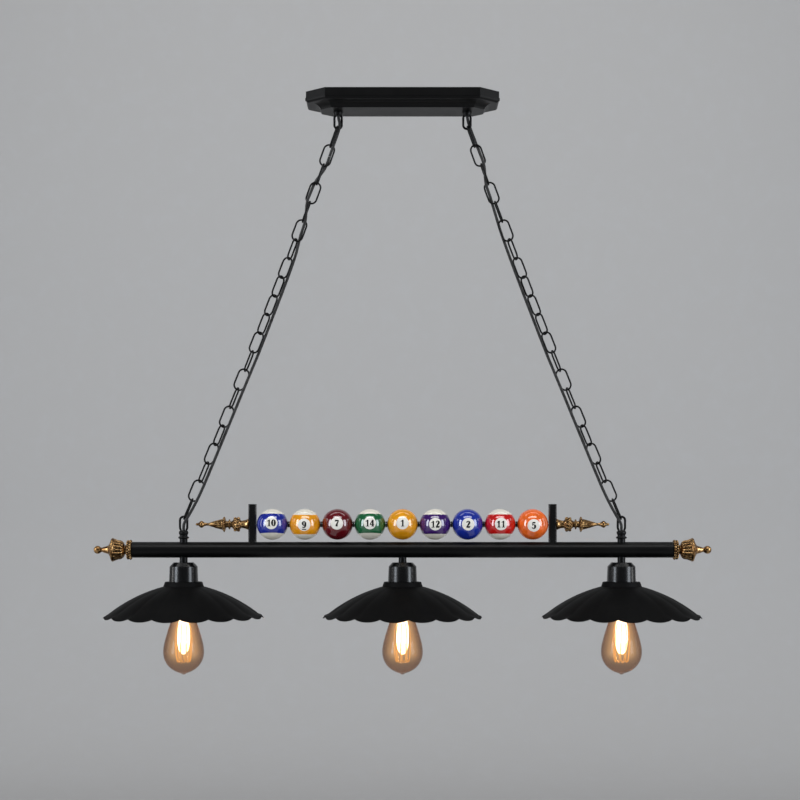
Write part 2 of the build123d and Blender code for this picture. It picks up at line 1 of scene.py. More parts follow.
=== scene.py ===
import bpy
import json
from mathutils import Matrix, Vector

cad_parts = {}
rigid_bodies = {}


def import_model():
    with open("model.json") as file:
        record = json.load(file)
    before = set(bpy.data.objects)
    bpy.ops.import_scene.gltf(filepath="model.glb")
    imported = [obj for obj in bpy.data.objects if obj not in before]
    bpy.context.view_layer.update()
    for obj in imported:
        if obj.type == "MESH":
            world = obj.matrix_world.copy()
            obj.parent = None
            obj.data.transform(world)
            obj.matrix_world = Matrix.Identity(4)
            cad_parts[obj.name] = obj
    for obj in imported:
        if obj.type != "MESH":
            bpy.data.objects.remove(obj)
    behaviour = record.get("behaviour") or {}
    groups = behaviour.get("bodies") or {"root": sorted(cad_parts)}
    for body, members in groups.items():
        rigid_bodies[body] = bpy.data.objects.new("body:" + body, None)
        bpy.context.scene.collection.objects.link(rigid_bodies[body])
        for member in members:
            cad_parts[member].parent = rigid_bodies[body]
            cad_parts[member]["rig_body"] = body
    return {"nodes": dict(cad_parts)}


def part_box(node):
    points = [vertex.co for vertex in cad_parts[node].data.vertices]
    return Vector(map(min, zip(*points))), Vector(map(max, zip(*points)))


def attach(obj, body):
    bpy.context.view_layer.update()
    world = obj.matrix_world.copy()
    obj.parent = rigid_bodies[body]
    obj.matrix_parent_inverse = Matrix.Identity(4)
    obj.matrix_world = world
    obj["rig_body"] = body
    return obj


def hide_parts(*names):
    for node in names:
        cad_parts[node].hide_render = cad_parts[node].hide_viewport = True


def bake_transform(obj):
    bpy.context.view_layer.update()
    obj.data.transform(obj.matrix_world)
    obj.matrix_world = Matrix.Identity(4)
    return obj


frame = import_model()

"""Looks of the pool table lamp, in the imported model's frame. Metres, +Z up, front -Y."""

import json
import logging
import math
from abc import ABC, abstractmethod
from dataclasses import dataclass, field
from enum import Enum
from typing import ClassVar, Sequence, Union

import bpy
import numpy as np
from mathutils import Euler, Vector

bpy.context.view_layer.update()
MM = 0.001

log = logging.getLogger("pool_table_lamp")

Colour = tuple[float, float, float]
Point = Sequence[float]
Profile = tuple[tuple[float, ...], ...]
Route = tuple[tuple[float, float, float], ...]


def rgba(colour: Colour) -> tuple[float, float, float, float]:
    """A colour with full alpha.

    Args:
        colour: Linear red, green and blue.

    Returns:
        The colour as four numbers.
    """
    return (*colour, 1.0)


def srgb(red: int, green: int, blue: int) -> Colour:
    """Linear colour of an 8-bit sRGB one.

    Args:
        red: 0 to 255.
        green: 0 to 255.
        blue: 0 to 255.

    Returns:
        Linear red, green and blue.
    """
    shares = (red / 255, green / 255, blue / 255)
    return tuple(c / 12.92 if c <= 0.04045 else ((c + 0.055) / 1.055) ** 2.4 for c in shares)


# ------------------------------------------------------------------ shader graph
class Wire:
    """A shader output on its way to a socket. Arithmetic on it adds Math nodes."""

    def __init__(self, graph: "Graph", socket: bpy.types.NodeSocket) -> None:
        """Keeps the graph and the output."""
        self.graph = graph
        self.socket = socket

    def _math(self, operation: str, *values: "Feed") -> "Wire":
        """Adds one Math node over the values."""
        return self.graph.node("ShaderNodeMath", {"operation": operation}, dict(enumerate(values)))

    def __add__(self, other: "Feed") -> "Wire":
        """This value plus another."""
        return self._math("ADD", self, other)

    def __radd__(self, other: "Feed") -> "Wire":
        """Another value plus this one."""
        return self._math("ADD", other, self)

    def __sub__(self, other: "Feed") -> "Wire":
        """This value less another."""
        return self._math("SUBTRACT", self, other)

    def __rsub__(self, other: "Feed") -> "Wire":
        """Another value less this one."""
        return self._math("SUBTRACT", other, self)

    def __mul__(self, other: "Feed") -> "Wire":
        """This value times another."""
        return self._math("MULTIPLY", self, other)

    def __rmul__(self, other: "Feed") -> "Wire":
        """Another value times this one."""
        return self._math("MULTIPLY", other, self)

    def __abs__(self) -> "Wire":
        """This value without its sign."""
        return self._math("ABSOLUTE", self)

    def sine(self) -> "Wire":
        """Sine of this value in radians."""
        return self._math("SINE", self)

    def root(self) -> "Wire":
        """Square root of this value."""
        return self._math("SQRT", self)

    def step(self, start: float, end: float, low: float = 0.0, high: float = 1.0) -> "Wire":
        """Smooth step of this value, from low at start to high at end.

        Args:
            start: Where the step starts.
            end: Where it ends.
            low: Result before the start.
            high: Result after the end.

        Returns:
            The new value.
        """
        return self.graph.node("ShaderNodeMapRange", {"interpolation_type": "SMOOTHSTEP", "clamp": True}, {
            "Value": self, "From Min": start, "From Max": end, "To Min": low, "To Max": high})


Feed = Union[Wire, float, Sequence[float]]


class Graph:
    """The node tree of one material."""

    def __init__(self, name: str) -> None:
        """Makes an empty material.

        Args:
            name: Name of the material.
        """
        self.material = bpy.data.materials.new(name)
        self.material.use_nodes = True
        self.tree = self.material.node_tree
        self.tree.nodes.clear()

    def node(self, kind: str, settings: dict[str, object] | None = None,
             inputs: dict[str | int, Feed] | None = None, output: str | int = 0) -> Wire:
        """Adds a node, sets it up and feeds its sockets.

        Args:
            kind: Blender's type name of the node.
            settings: Properties, set before the sockets.
            inputs: Values or links by socket name or number.
            output: The output that is handed back.

        Returns:
            The chosen output.
        """
        made = self.tree.nodes.new(kind)
        for key, value in (settings or {}).items():
            setattr(made, key, value)
        for key, value in (inputs or {}).items():
            if isinstance(value, Wire):
                self.tree.links.new(value.socket, made.inputs[key])
            else:
                made.inputs[key].default_value = value
        return Wire(self, made.outputs[output])

    def mix(self, first: Feed, second: Feed, factor: Feed) -> Wire:
        """Colour between two.

        Args:
            first: Colour at factor 0.
            second: Colour at factor 1.
            factor: Share of the second colour.

        Returns:
            The mixed colour.
        """
        return self.node("ShaderNodeMix", {"data_type": "RGBA"}, {0: factor, 6: first, 7: second}, 2)

    def place(self, kind: str = "Object") -> Wire:
        """Texture coordinates.

        Args:
            kind: Object or UV.

        Returns:
            The coordinates.
        """
        return self.node("ShaderNodeTexCoord", output=kind)

    def parts(self, vector: Wire) -> tuple[Wire, Wire, Wire]:
        """The three parts of a vector.

        Args:
            vector: The vector.

        Returns:
            Its x, y and z.
        """
        first = self.node("ShaderNodeSeparateXYZ", inputs={0: vector})
        return tuple(Wire(self, o) for o in first.socket.node.outputs)

    def noise(self, scale: float, detail: float = 3.0) -> Wire:
        """Noise from 0 to 1, fixed to the object.

        Args:
            scale: Lumps per metre.
            detail: Number of finer layers.

        Returns:
            The noise.
        """
        return self.node("ShaderNodeTexNoise", {}, {
            "Vector": self.place(), "Scale": scale, "Detail": detail, "Roughness": 0.55})

    def bump(self, height: Wire, distance: float, strength: float = 1.0, edge: float = 0.0) -> Wire:
        """Normal over a height.

        Args:
            height: The height, from 0 to 1.
            distance: What 1 stands for, in metres.
            strength: Share of the effect.
            edge: Radius of softened edges in metres, or 0 for sharp ones.

        Returns:
            The normal.
        """
        inputs: dict[str | int, Feed] = {"Height": height, "Distance": distance, "Strength": strength}
        if edge:
            inputs["Normal"] = self.node("ShaderNodeBevel", {"samples": 4}, {"Radius": edge})
        return self.node("ShaderNodeBump", {}, inputs)

    def surface(self, inputs: dict[str | int, Feed]) -> Wire:
        """A Principled surface.

        Args:
            inputs: Values or links by socket name.

        Returns:
            The shader.
        """
        return self.node("ShaderNodeBsdfPrincipled", {}, inputs)

    def close(self, shader: Wire) -> bpy.types.Material:
        """Links the shader to the output.

        Args:
            shader: The finished shader.

        Returns:
            The material.
        """
        out = self.tree.nodes.new("ShaderNodeOutputMaterial")
        self.tree.links.new(shader.socket, out.inputs["Surface"])
        return self.material


# ------------------------------------------------------------------ finishes
@dataclass(frozen=True)
class Finish(ABC):
    """One finish of the lamp, made into a material the first time that it is asked for."""

    name: str

    @abstractmethod
    def shade(self, graph: Graph) -> Wire:
        """Builds the finish.

        Args:
            graph: Where its nodes go.

        Returns:
            The shader.
        """

    def material(self) -> bpy.types.Material:
        """The material of this finish.

        Returns:
            The one made before under this name, or a new one.
        """
        found = bpy.data.materials.get(self.name)
        if found:
            return found
        graph = Graph(self.name)
        return graph.close(self.shade(graph))


@dataclass(frozen=True)
class Paint(Finish):
    """Sprayed paint: slight orange peel, uneven gloss and softened edges."""

    colour: Colour = (0.012, 0.012, 0.013)
    dust: Colour = (0.03, 0.029, 0.028)
    roughness: float = 0.36
    unevenness: float = 0.14
    peel: float = 0.00006
    grain: float = 900.0
    edge: float = 0.0006
    gloss: float = 0.5
    patch_scale: float = 26.0
    dusting: float = 0.5
    speckle: float = 0.12

    def shade(self, graph: Graph) -> Wire:
        """Builds the paint.

        Args:
            graph: Where its nodes go.

        Returns:
            The shader.
        """
        patches = graph.noise(self.patch_scale, 4.0)
        fine = graph.noise(self.grain, 2.0)
        dusty = patches.step(0.45, 0.75) * self.dusting + fine * self.speckle
        return graph.surface({
            "Base Color": graph.mix(rgba(self.colour), rgba(self.dust), dusty),
            "Roughness": self.roughness + (patches - 0.5) * self.unevenness + (fine - 0.5) * 0.06,
            "Specular IOR Level": self.gloss,
            "Normal": graph.bump(fine, self.peel, 0.7, self.edge),
        })


@dataclass(frozen=True)
class Metal(Finish):
    """Bare or plated metal with fine scratches and soft patches."""

    colour: Colour = (0.55, 0.55, 0.56)
    dull: Colour = (0.35, 0.35, 0.36)
    roughness: float = 0.3
    edge: float = 0.0003
    patch_scale: float = 45.0
    scratch_scale: float = 1600.0
    scratch_depth: float = 0.00003

    def shade(self, graph: Graph) -> Wire:
        """Builds the metal.

        Args:
            graph: Where its nodes go.

        Returns:
            The shader.
        """
        patches = graph.noise(self.patch_scale, 5.0)
        scratches = graph.noise(self.scratch_scale, 2.0)
        return graph.surface({
            "Base Color": graph.mix(rgba(self.colour), rgba(self.dull), patches.step(0.35, 0.7)),
            "Metallic": 1.0,
            "Roughness": self.roughness + (patches - 0.5) * 0.2 + (scratches - 0.5) * 0.08,
            "Normal": graph.bump(scratches, self.scratch_depth, 0.5, self.edge),
        })


@dataclass(frozen=True)
class AntiqueBrass(Finish):
    """Cast brass, rubbed bright on what stands out and dark brown in the recesses."""

    bright: Colour = srgb(184, 147, 98)
    middle: Colour = srgb(112, 80, 47)
    deep: Colour = srgb(30, 20, 11)
    recess: float = 0.0045
    patch_scale: float = 160.0
    grain_scale: float = 1300.0
    pitting: float = 0.00018
    edge: float = 0.0004

    def shade(self, graph: Graph) -> Wire:
        """Builds the brass.

        Args:
            graph: Where its nodes go.

        Returns:
            The shader.
        """
        hollow = graph.node("ShaderNodeAmbientOcclusion", {"samples": 6, "only_local": True},
                            {"Distance": self.recess}, "AO")
        patches = graph.noise(self.patch_scale, 5.0)
        fine = graph.noise(self.grain_scale, 2.0)
        open_air = (hollow + (patches - 0.5) * 0.28).step(0.3, 0.92)
        worn = graph.mix(rgba(self.middle), rgba(self.bright), patches.step(0.36, 0.66))
        return graph.surface({
            "Base Color": graph.mix(rgba(self.deep), worn, open_air),
            "Metallic": open_air * 0.35 + 0.6,
            "Roughness": 0.44 - open_air * 0.2 + (patches - 0.5) * 0.2,
            "Normal": graph.bump(fine * 0.4 + patches * 0.6, self.pitting, 0.8, self.edge),
        })


@dataclass(frozen=True)
class Braid(Finish):
    """Braided black fabric over a round cord; its pattern follows the cord's own length."""

    length: float = 0.6
    diameter: float = 0.0046
    strands: float = 6.0
    turn_length: float = 1.5
    gap: Colour = (0.004, 0.004, 0.004)
    thread: Colour = (0.02, 0.019, 0.018)
    depth: float = 0.0004

    def shade(self, graph: Graph) -> Wire:
        """Builds the braid.

        Args:
            graph: Where its nodes go.

        Returns:
            The shader.
        """
        along, around, _ = graph.parts(graph.place("UV"))
        turns = round(self.length / (self.diameter * self.turn_length))
        one = ((along * turns + around * self.strands) * math.tau).sine()
        two = ((along * turns - around * self.strands) * math.tau).sine()
        weave = (one * two).step(-0.8, 0.8)
        relief = weave * 0.8 + graph.noise(2600.0, 2.0) * 0.2
        return graph.surface({
            "Base Color": graph.mix(rgba(self.gap), rgba(self.thread), relief),
            "Roughness": 0.86 - weave * 0.16,
            "Sheen Weight": 0.25,
            "Normal": graph.bump(relief, self.depth, 0.9),
        })


@dataclass(frozen=True)
class Resin(Finish):
    """Polished ball resin: a colour, a stripe if there is one, and a white disc on both faces."""

    colour: Colour = (0.5, 0.1, 0.05)
    radius: float = 0.02475
    striped: bool = False
    white: Colour = srgb(232, 226, 210)
    disc: Colour = srgb(240, 236, 226)
    disc_radius: float = 0.0099
    stripe_share: float = 0.62
    line: float = 0.00012
    shading: float = 0.72

    def shade(self, graph: Graph) -> Wire:
        """Builds the resin.

        Args:
            graph: Where its nodes go.

        Returns:
            The shader.
        """
        x, _, z = graph.parts(graph.place())
        from_middle = (x * x + z * z).root()
        inside = from_middle.step(self.disc_radius - self.line, self.disc_radius + self.line, 1.0, 0.0)
        darker = tuple(c * self.shading for c in self.colour)
        clouds = graph.noise(70.0, 3.0)
        body = graph.mix(rgba(self.colour), rgba(darker), clouds.step(0.3, 0.75))
        if self.striped:
            half = self.radius * self.stripe_share
            stripe = abs(z).step(half - self.line, half + self.line, 1.0, 0.0)
            body = graph.mix(rgba(self.white), body, stripe)
        smears = graph.noise(240.0, 4.0)
        return graph.surface({
            "Base Color": graph.mix(body, rgba(self.disc), inside),
            "Roughness": 0.13 + smears.step(0.5, 0.8) * 0.09,
            "Coat Weight": 0.9,
            "Coat Roughness": 0.03,
            "Normal": graph.bump(smears, 0.00001, 0.3),
        })


@dataclass(frozen=True)
class Glow(Finish):
    """Hot filament: it shines, with its colour shifting at random between two."""

    colour: Colour = (1.0, 0.36, 0.05)
    hot: Colour = (1.0, 0.6, 0.2)
    strength: float = 1.1

    def shade(self, graph: Graph) -> Wire:
        """Builds the glow.

        Args:
            graph: Where its nodes go.

        Returns:
            The shader.
        """
        ripple = graph.noise(700.0, 2.0)
        return graph.surface({
            "Base Color": rgba((0.02, 0.01, 0.005)),
            "Emission Color": graph.mix(rgba(self.colour), rgba(self.hot), ripple.step(0.35, 0.65)),
            "Emission Strength": self.strength,
            "Roughness": 0.5 + ripple * 0.1,
        })


@dataclass(frozen=True)
class HotGlass(Finish):
    """Glass stem inside a bulb with a painted glow: glowing where seen face on and clear towards its edges.
    """

    # Colours and strength of the painted glow.
    light: Colour = (1.0, 0.86, 0.6)
    core: Colour = (1.0, 0.96, 0.86)
    strength: float = 4.2

    def shade(self, graph: Graph) -> Wire:
        """Builds the glass stem with its painted glow.

        Args:
            graph: Where its nodes go.

        Returns:
            The shader.
        """
        facing = graph.node("ShaderNodeLayerWeight", {}, {"Blend": 0.5}, "Facing")
        ripple = graph.noise(300.0, 3.0)
        # Painted glow: the stem is given emission for the filament's light that lights it.
        hot = graph.surface({
            "Base Color": rgba((0.6, 0.5, 0.4)),
            "Emission Color": graph.mix(rgba(self.light), rgba(self.core), ripple.step(0.3, 0.7)),
            "Emission Strength": self.strength,
            "Roughness": 0.2 + ripple * 0.1,
        })
        clear = graph.node("ShaderNodeBsdfTransparent", {}, {"Color": rgba((1.0, 0.97, 0.9))})
        # The painted glow shows face on and gives way to clear glass towards the edges.
        inner = facing.step(0.2, 0.95, 1.0, 0.0)
        return graph.node("ShaderNodeMixShader", {}, {0: inner, 1: clear, 2: hot})


@dataclass(frozen=True)
class AmberGlass(Finish):
    """Lit amber glass with painted light: a painted glow makes it bright seen face on, and painted shade
    darkens it to a smoky brown along its edges.
    """

    bottom: float = -0.1
    fade_below: float = 0.016
    fade_above: float = 0.014
    # Colour of the painted shade along the glass's edges.
    edge_colour: Colour = srgb(62, 44, 32)
    body_colour: Colour = srgb(120, 88, 62)
    # Colour of the painted glow, the filament's light painted into the glass.
    light: Colour = (1.0, 0.62, 0.26)
    tint: Colour = (0.66, 0.55, 0.47)

    def shade(self, graph: Graph) -> Wire:
        """Builds the amber glass.

        Args:
            graph: Where its nodes go.

        Returns:
            The shader.
        """
        facing = graph.node("ShaderNodeLayerWeight", {}, {"Blend": 0.5}, "Facing")
        _, _, z = graph.parts(graph.place())
        height = z.step(self.bottom - self.fade_below, self.bottom + self.fade_above)
        ripple = graph.noise(55.0, 2.0)
        # Painted shade: where the glass turns away from view, it is darkened to brown and made less clear.
        rim = facing.step(0.35, 1.0)
        # Painted glow: the filament's light is painted into the glass as emission, face on and above the
        # bottom height.
        painted_glow_mask = facing.step(0.08, 0.6, 1.0, 0.0) * height
        glass = graph.surface({
            "Base Color": graph.mix(rgba(self.body_colour), rgba(self.edge_colour), rim),
            "Emission Color": graph.mix(rgba((0.0, 0.0, 0.0)), rgba(self.light), painted_glow_mask),
            "Emission Strength": 1.5,
            "Roughness": 0.05 + ripple * 0.03,
            "Coat Weight": 1.0,
            "Coat Roughness": 0.02,
        })
        clear = graph.node("ShaderNodeBsdfTransparent", {}, {"Color": rgba(self.tint)})
        # The painted shade and the painted glow also make the glass less clear.
        solid = rim * 0.55 + painted_glow_mask * 0.1 + 0.05
        return graph.node("ShaderNodeMixShader", {}, {0: solid, 1: clear, 2: glass})


SOFT_BLACK = (0.0042, 0.0041, 0.004)
BLACK_IRON = Paint("Black iron paint", colour=(0.0022, 0.0022, 0.0023), dust=SOFT_BLACK,
                   roughness=0.38, gloss=0.17)
BLACK_SHADE = Paint("Matte black shade", colour=(0.002, 0.002, 0.0021), dust=SOFT_BLACK,
                    roughness=0.56, peel=0.00004, edge=0.0, gloss=0.07)
BLACK_CHAIN = Paint("Black chain paint", colour=(0.002, 0.002, 0.002), dust=SOFT_BLACK,
                    roughness=0.36, grain=1500.0, edge=0.0, gloss=0.2)
BLACK_POST = Paint("Black post paint", colour=(0.0022, 0.0022, 0.0023), dust=SOFT_BLACK,
                   roughness=0.26, gloss=0.6)
BLACK_CUP = Paint("Satin black cup", colour=(0.002, 0.0021, 0.0026), dust=SOFT_BLACK,
                  roughness=0.27, gloss=0.5)
HOLDER = Paint("Black holder resin", colour=(0.014, 0.012, 0.010), roughness=0.42)
TERMINAL = Paint("Cream terminal", colour=(0.62, 0.58, 0.48), dust=(0.5, 0.46, 0.38), roughness=0.5)
NUMBER_INK = Paint("Black ink", colour=(0.006, 0.006, 0.007), dust=(0.012, 0.012, 0.012),
                   roughness=0.12, unevenness=0.05, peel=0.000005, edge=0.0)
WIRE = Paint("Black wire insulation", colour=(0.02, 0.02, 0.02), roughness=0.5, edge=0.0)
ZINC = Metal("Zinc plate")
BULB_METAL = Metal("Bulb cap brass", colour=(0.62, 0.45, 0.22), dull=(0.42, 0.29, 0.13),
                   roughness=0.28)
BRASS = AntiqueBrass("Antique brass")
FILAMENT = Glow("Hot filament")
# Painted glow on the glass stem in the middle of each bulb.
PAINTED_GLOW_STEM = HotGlass("Hot glass stem")
SUPPORT = Metal("Filament support", colour=(0.5, 0.4, 0.25), dull=(0.3, 0.22, 0.14),
                roughness=0.35, edge=0.0)
BACKDROP = Paint("Pale backdrop", colour=srgb(178, 177, 176), dust=srgb(180, 180, 180),
                 roughness=0.9, unevenness=0.02, peel=0.0001, grain=60.0, edge=0.0)


# ------------------------------------------------------------------ meshes
class Shape:
    """A mesh in the making: rows of points turned into faces, each with one of its finishes."""

    def __init__(self) -> None:
        """Starts with no points and no faces."""
        self.points: list[Point] = []
        self.faces: list[tuple[int, ...]] = []
        self.finish_of: list[int] = []
        self.corner_uv: list[tuple[float, float]] = []

    def face(self, corners: Sequence[int], finish: int,
             uv: Sequence[tuple[float, float]] | None = None) -> None:
        """Adds one face.

        Args:
            corners: Numbers of its points.
            finish: Number of its finish.
            uv: Texture place of each corner.
        """
        self.faces.append(tuple(corners))
        self.finish_of.append(finish)
        self.corner_uv.extend(uv or [(0.0, 0.0)] * len(corners))

    def grid(self, rows: Sequence[Sequence[Point]], closed: bool = True, finish: int = 0,
             loop: bool = False) -> None:
        """Adds a skin over rows of points.

        Args:
            rows: Rows with the same number of points each.
            closed: Whether each row runs round to its start.
            finish: Number of the finish.
            loop: Whether the last row joins the first.
        """
        first = len(self.points)
        wide = len(rows[0])
        for row in rows:
            self.points.extend(row)
        count = len(rows) if loop else len(rows) - 1
        across = wide if closed else wide - 1
        for i in range(count):
            j = (i + 1) % len(rows)
            for a in range(across):
                b = (a + 1) % wide
                here, there = first + i * wide, first + j * wide
                u, v, w, x = i / count, (i + 1) / count, a / across, (a + 1) / across
                self.face([here + a, there + a, there + b, here + b], finish,
                          [(u, w), (v, w), (v, x), (u, x)])

    def fan(self, row: Sequence[Point], tip: Point, finish: int = 0) -> None:
        """Closes a round row with a point.

        Args:
            row: Points round the opening.
            tip: The point that closes it.
            finish: Number of the finish.
        """
        first = len(self.points)
        self.points.extend([*row, tip])
        for a in range(len(row)):
            self.face([first + a, first + (a + 1) % len(row), first + len(row)], finish)

    def build(self, name: str, finishes: Sequence[Finish], sharp_deg: float = 40.0) -> bpy.types.Object:
        """Makes the object.

        Args:
            name: Name of the piece.
            finishes: Finishes by number.
            sharp_deg: Edges turned by more than this stay sharp.

        Returns:
            The object, in the scene.
        """
        mesh = bpy.data.meshes.new(name)
        mesh.from_pydata([tuple(p) for p in self.points], [], self.faces)
        mesh.polygons.foreach_set("material_index", self.finish_of)
        layer = mesh.uv_layers.new(name="UVMap")
        layer.data.foreach_set("uv", np.array(self.corner_uv, np.float32).ravel())
        for finish in finishes:
            mesh.materials.append(finish.material())
        mesh.validate()
        mesh.shade_smooth()
        mesh.set_sharp_from_angle(angle=math.radians(sharp_deg))
        made = bpy.data.objects.new(name, mesh)
        bpy.context.scene.collection.objects.link(made)
        return made


def smooth(points: Sequence[Point], steps: int = 6) -> list[np.ndarray]:
    """Catmull-Rom curve through the points.

    Args:
        points: Points of any number of parts.
        steps: Steps from each point to the next.

    Returns:
        Points along the curve.
    """
    p = np.array(points, float)
    last = len(p) - 1
    curve = []
    for i in range(last):
        b, c = p[i], p[i + 1]
        a = p[i - 1] if i else 2 * b - c
        d = p[i + 2] if i + 2 <= last else 2 * c - b
        for s in range(steps):
            t = s / steps
            curve.append(0.5 * (2 * b + (c - a) * t + (2 * a - 5 * b + 4 * c - d) * t * t
                                + (3 * b - a - 3 * c + d) * t ** 3))
    return curve + [p[-1]]


def quadratic_spline(points: Sequence[Point], steps: int) -> list[Vector]:
    """The line of a clamped quadratic B-spline, as a cord's spline draws it.

    Args:
        points: Its control points.
        steps: Steps in each span.

    Returns:
        Points along it.
    """
    p = [Vector(q) for q in points]
    joints = [p[0]] + [(a + b) / 2 for a, b in zip(p[1:-1], p[2:-1])] + [p[-1]]
    line = []
    for start, control, end in zip(joints, p[1:-1], joints[1:]):
        for s in range(steps):
            t = s / steps
            line.append(start * (1 - t) ** 2 + control * (2 * t * (1 - t)) + end * t * t)
    return line + [p[-1]]


def tube_rows(line: Sequence[Vector], radius: float, sides: int = 16) -> list[list[Vector]]:
    """Rings round a line.

    Args:
        line: Points along the middle.
        radius: Radius of the tube.
        sides: Points in each ring.

    Returns:
        One ring for each point of the line.
    """
    rows = []
    normal = Vector((0.0, 1.0, 0.0))
    for i, middle in enumerate(line):
        ahead = (line[min(i + 1, len(line) - 1)] - line[max(i - 1, 0)]).normalized()
        normal = (normal - ahead * normal.dot(ahead)).normalized()
        side = ahead.cross(normal)
        rows.append([middle + (normal * math.cos(t) + side * math.sin(t)) * radius
                     for t in (math.tau * a / sides for a in range(sides))])
    return rows


@dataclass
class Turning:
    """A piece turned about the X axis, with flutes where its profile asks for them."""

    start: Vector
    direction: int
    profile: list[tuple[float, ...]]
    flutes: int = 16
    sides: int = 128
    lobe_power: float = 1.5
    bead_layers: int = 8
    bead_sides: int = 12
    bead_pole: float = 0.02

    def point(self, out: float, radius: float, around: float) -> Vector:
        """A place on or round the piece.

        Args:
            out: Distance outwards in mm.
            radius: Distance from the axis in mm.
            around: Angle in radians.

        Returns:
            The place in metres.
        """
        across, up = radius * math.cos(around), radius * math.sin(around)
        return self.start + Vector((self.direction * out, across, up)) * MM

    def add_skin(self, shape: Shape) -> None:
        """Adds the turned skin.

        Args:
            shape: Where it goes.
        """
        rows = []
        for out, radius, *flute in self.profile:
            depth = flute[0] if flute else 0.0
            row = []
            for a in range(self.sides):
                around = math.tau * a / self.sides * self.direction
                lobe = 1.0 - abs(math.cos(self.flutes * around / 2))
                row.append(self.point(out, radius * (1.0 - depth * lobe ** self.lobe_power), around))
            rows.append(row)
        shape.grid(rows)

    def add_beads(self, shape: Shape, out: float, ring: float, size: float, count: int,
                  shift: float = 0.0, stretch: float = 1.0) -> None:
        """Adds a ring of beads.

        Args:
            shape: Where they go.
            out: Distance outwards in mm.
            ring: Radius of the ring in mm.
            size: Radius of a bead in mm.
            count: Number of beads.
            shift: Turn of the ring in beads.
            stretch: Length of a bead for its width.
        """
        span = 1.0 - 2.0 * self.bead_pole
        for i in range(count):
            around = math.tau * (i + shift) / count
            rows = []
            for k in range(self.bead_layers + 1):
                polar = math.pi * (self.bead_pole + span * k / self.bead_layers)
                along, across = out - size * stretch * math.cos(polar), size * math.sin(polar)
                turns = [math.tau * a / self.bead_sides * self.direction for a in range(self.bead_sides)]
                rows.append([self.point(along, ring + across * math.cos(turn),
                                        around + across * math.sin(turn) / ring) for turn in turns])
            shape.grid(rows)


# ------------------------------------------------------------------ digits
class Digits:
    """Bold numerals with thick and thin strokes. Each stroke point is x, y and half its width,
    in heights of a digit."""

    STROKES: ClassVar[dict[str, list[list[tuple[float, float, float]]]]] = {
        "1": [[(0.34, 0.03, 0.085), (0.34, 0.97, 0.085)],
              [(0.36, 0.93, 0.055), (0.2, 0.79, 0.05), (0.04, 0.74, 0.035)],
              [(0.07, 0.035, 0.035), (0.55, 0.035, 0.035)]],
        "0": [[(0.31 + 0.2 * math.sin(t), 0.5 + 0.445 * math.cos(t), 0.05 + 0.065 * math.sin(t) ** 2)
               for t in (math.tau * i / 16 for i in range(17))]],
        "2": [[(0.16, 0.73, 0.085), (0.12, 0.86, 0.05), (0.29, 0.95, 0.05), (0.45, 0.86, 0.09),
               (0.47, 0.7, 0.11), (0.34, 0.45, 0.09), (0.12, 0.15, 0.05)],
              [(0.05, 0.1, 0.1), (0.56, 0.1, 0.1)], [(0.54, 0.1, 0.04), (0.57, 0.28, 0.03)]],
        "4": [[(0.42, 0.03, 0.1), (0.42, 0.98, 0.1)], [(0.4, 0.95, 0.05), (0.05, 0.32, 0.05)],
              [(0.01, 0.29, 0.05), (0.62, 0.29, 0.05)], [(0.24, 0.035, 0.035), (0.6, 0.035, 0.035)]],
        "5": [[(0.11, 0.9, 0.085), (0.54, 0.9, 0.085)], [(0.13, 0.94, 0.04), (0.1, 0.52, 0.04)],
              [(0.1, 0.52, 0.04), (0.28, 0.61, 0.055), (0.46, 0.5, 0.1), (0.49, 0.31, 0.12),
               (0.42, 0.12, 0.09), (0.25, 0.05, 0.05), (0.11, 0.12, 0.06), (0.12, 0.23, 0.08)]],
        "7": [[(0.05, 0.9, 0.09), (0.57, 0.9, 0.09)], [(0.07, 0.95, 0.035), (0.05, 0.7, 0.03)],
              [(0.54, 0.86, 0.055), (0.4, 0.58, 0.08), (0.29, 0.3, 0.11), (0.28, 0.04, 0.13)]],
        "9": [[(0.31 + 0.19 * math.sin(t), 0.67 + 0.28 * math.cos(t), 0.05 + 0.06 * math.sin(t) ** 2)
               for t in (math.tau * i / 16 for i in range(17))],
              [(0.5, 0.7, 0.1), (0.5, 0.45, 0.11), (0.44, 0.2, 0.09), (0.28, 0.05, 0.05),
               (0.14, 0.11, 0.06), (0.14, 0.21, 0.08)]],
    }
    ADVANCE: ClassVar[float] = 0.66
    WIDTH: ClassVar[float] = 0.62
    LINE_DROP: ClassVar[float] = 0.68
    LINE_HALF: ClassVar[float] = 0.055
    STRAIGHT_STEPS: ClassVar[int] = 12
    CURVED_STEPS: ClassVar[int] = 6

    @classmethod
    def strokes(cls, text: str, underline: bool) -> list[list[np.ndarray]]:
        """Smooth strokes of a number, centred on 0, 0.

        Args:
            text: The number.
            underline: Whether a line goes under it.

        Returns:
            Strokes of x, y and half width, in heights of a digit.
        """
        wide = cls.ADVANCE * (len(text) - 1) + cls.WIDTH
        made = []
        for i, digit in enumerate(text):
            shift = np.array([i * cls.ADVANCE - wide / 2, -0.5, 0.0])
            for stroke in cls.STROKES[digit]:
                steps = cls.STRAIGHT_STEPS if len(stroke) == 2 else cls.CURVED_STEPS
                made.append([p + shift for p in smooth(stroke, steps)])
        if underline:
            ends = [(x, -cls.LINE_DROP, cls.LINE_HALF) for x in (-wide / 2, wide / 2)]
            made.append(smooth(ends, cls.STRAIGHT_STEPS))
        return made


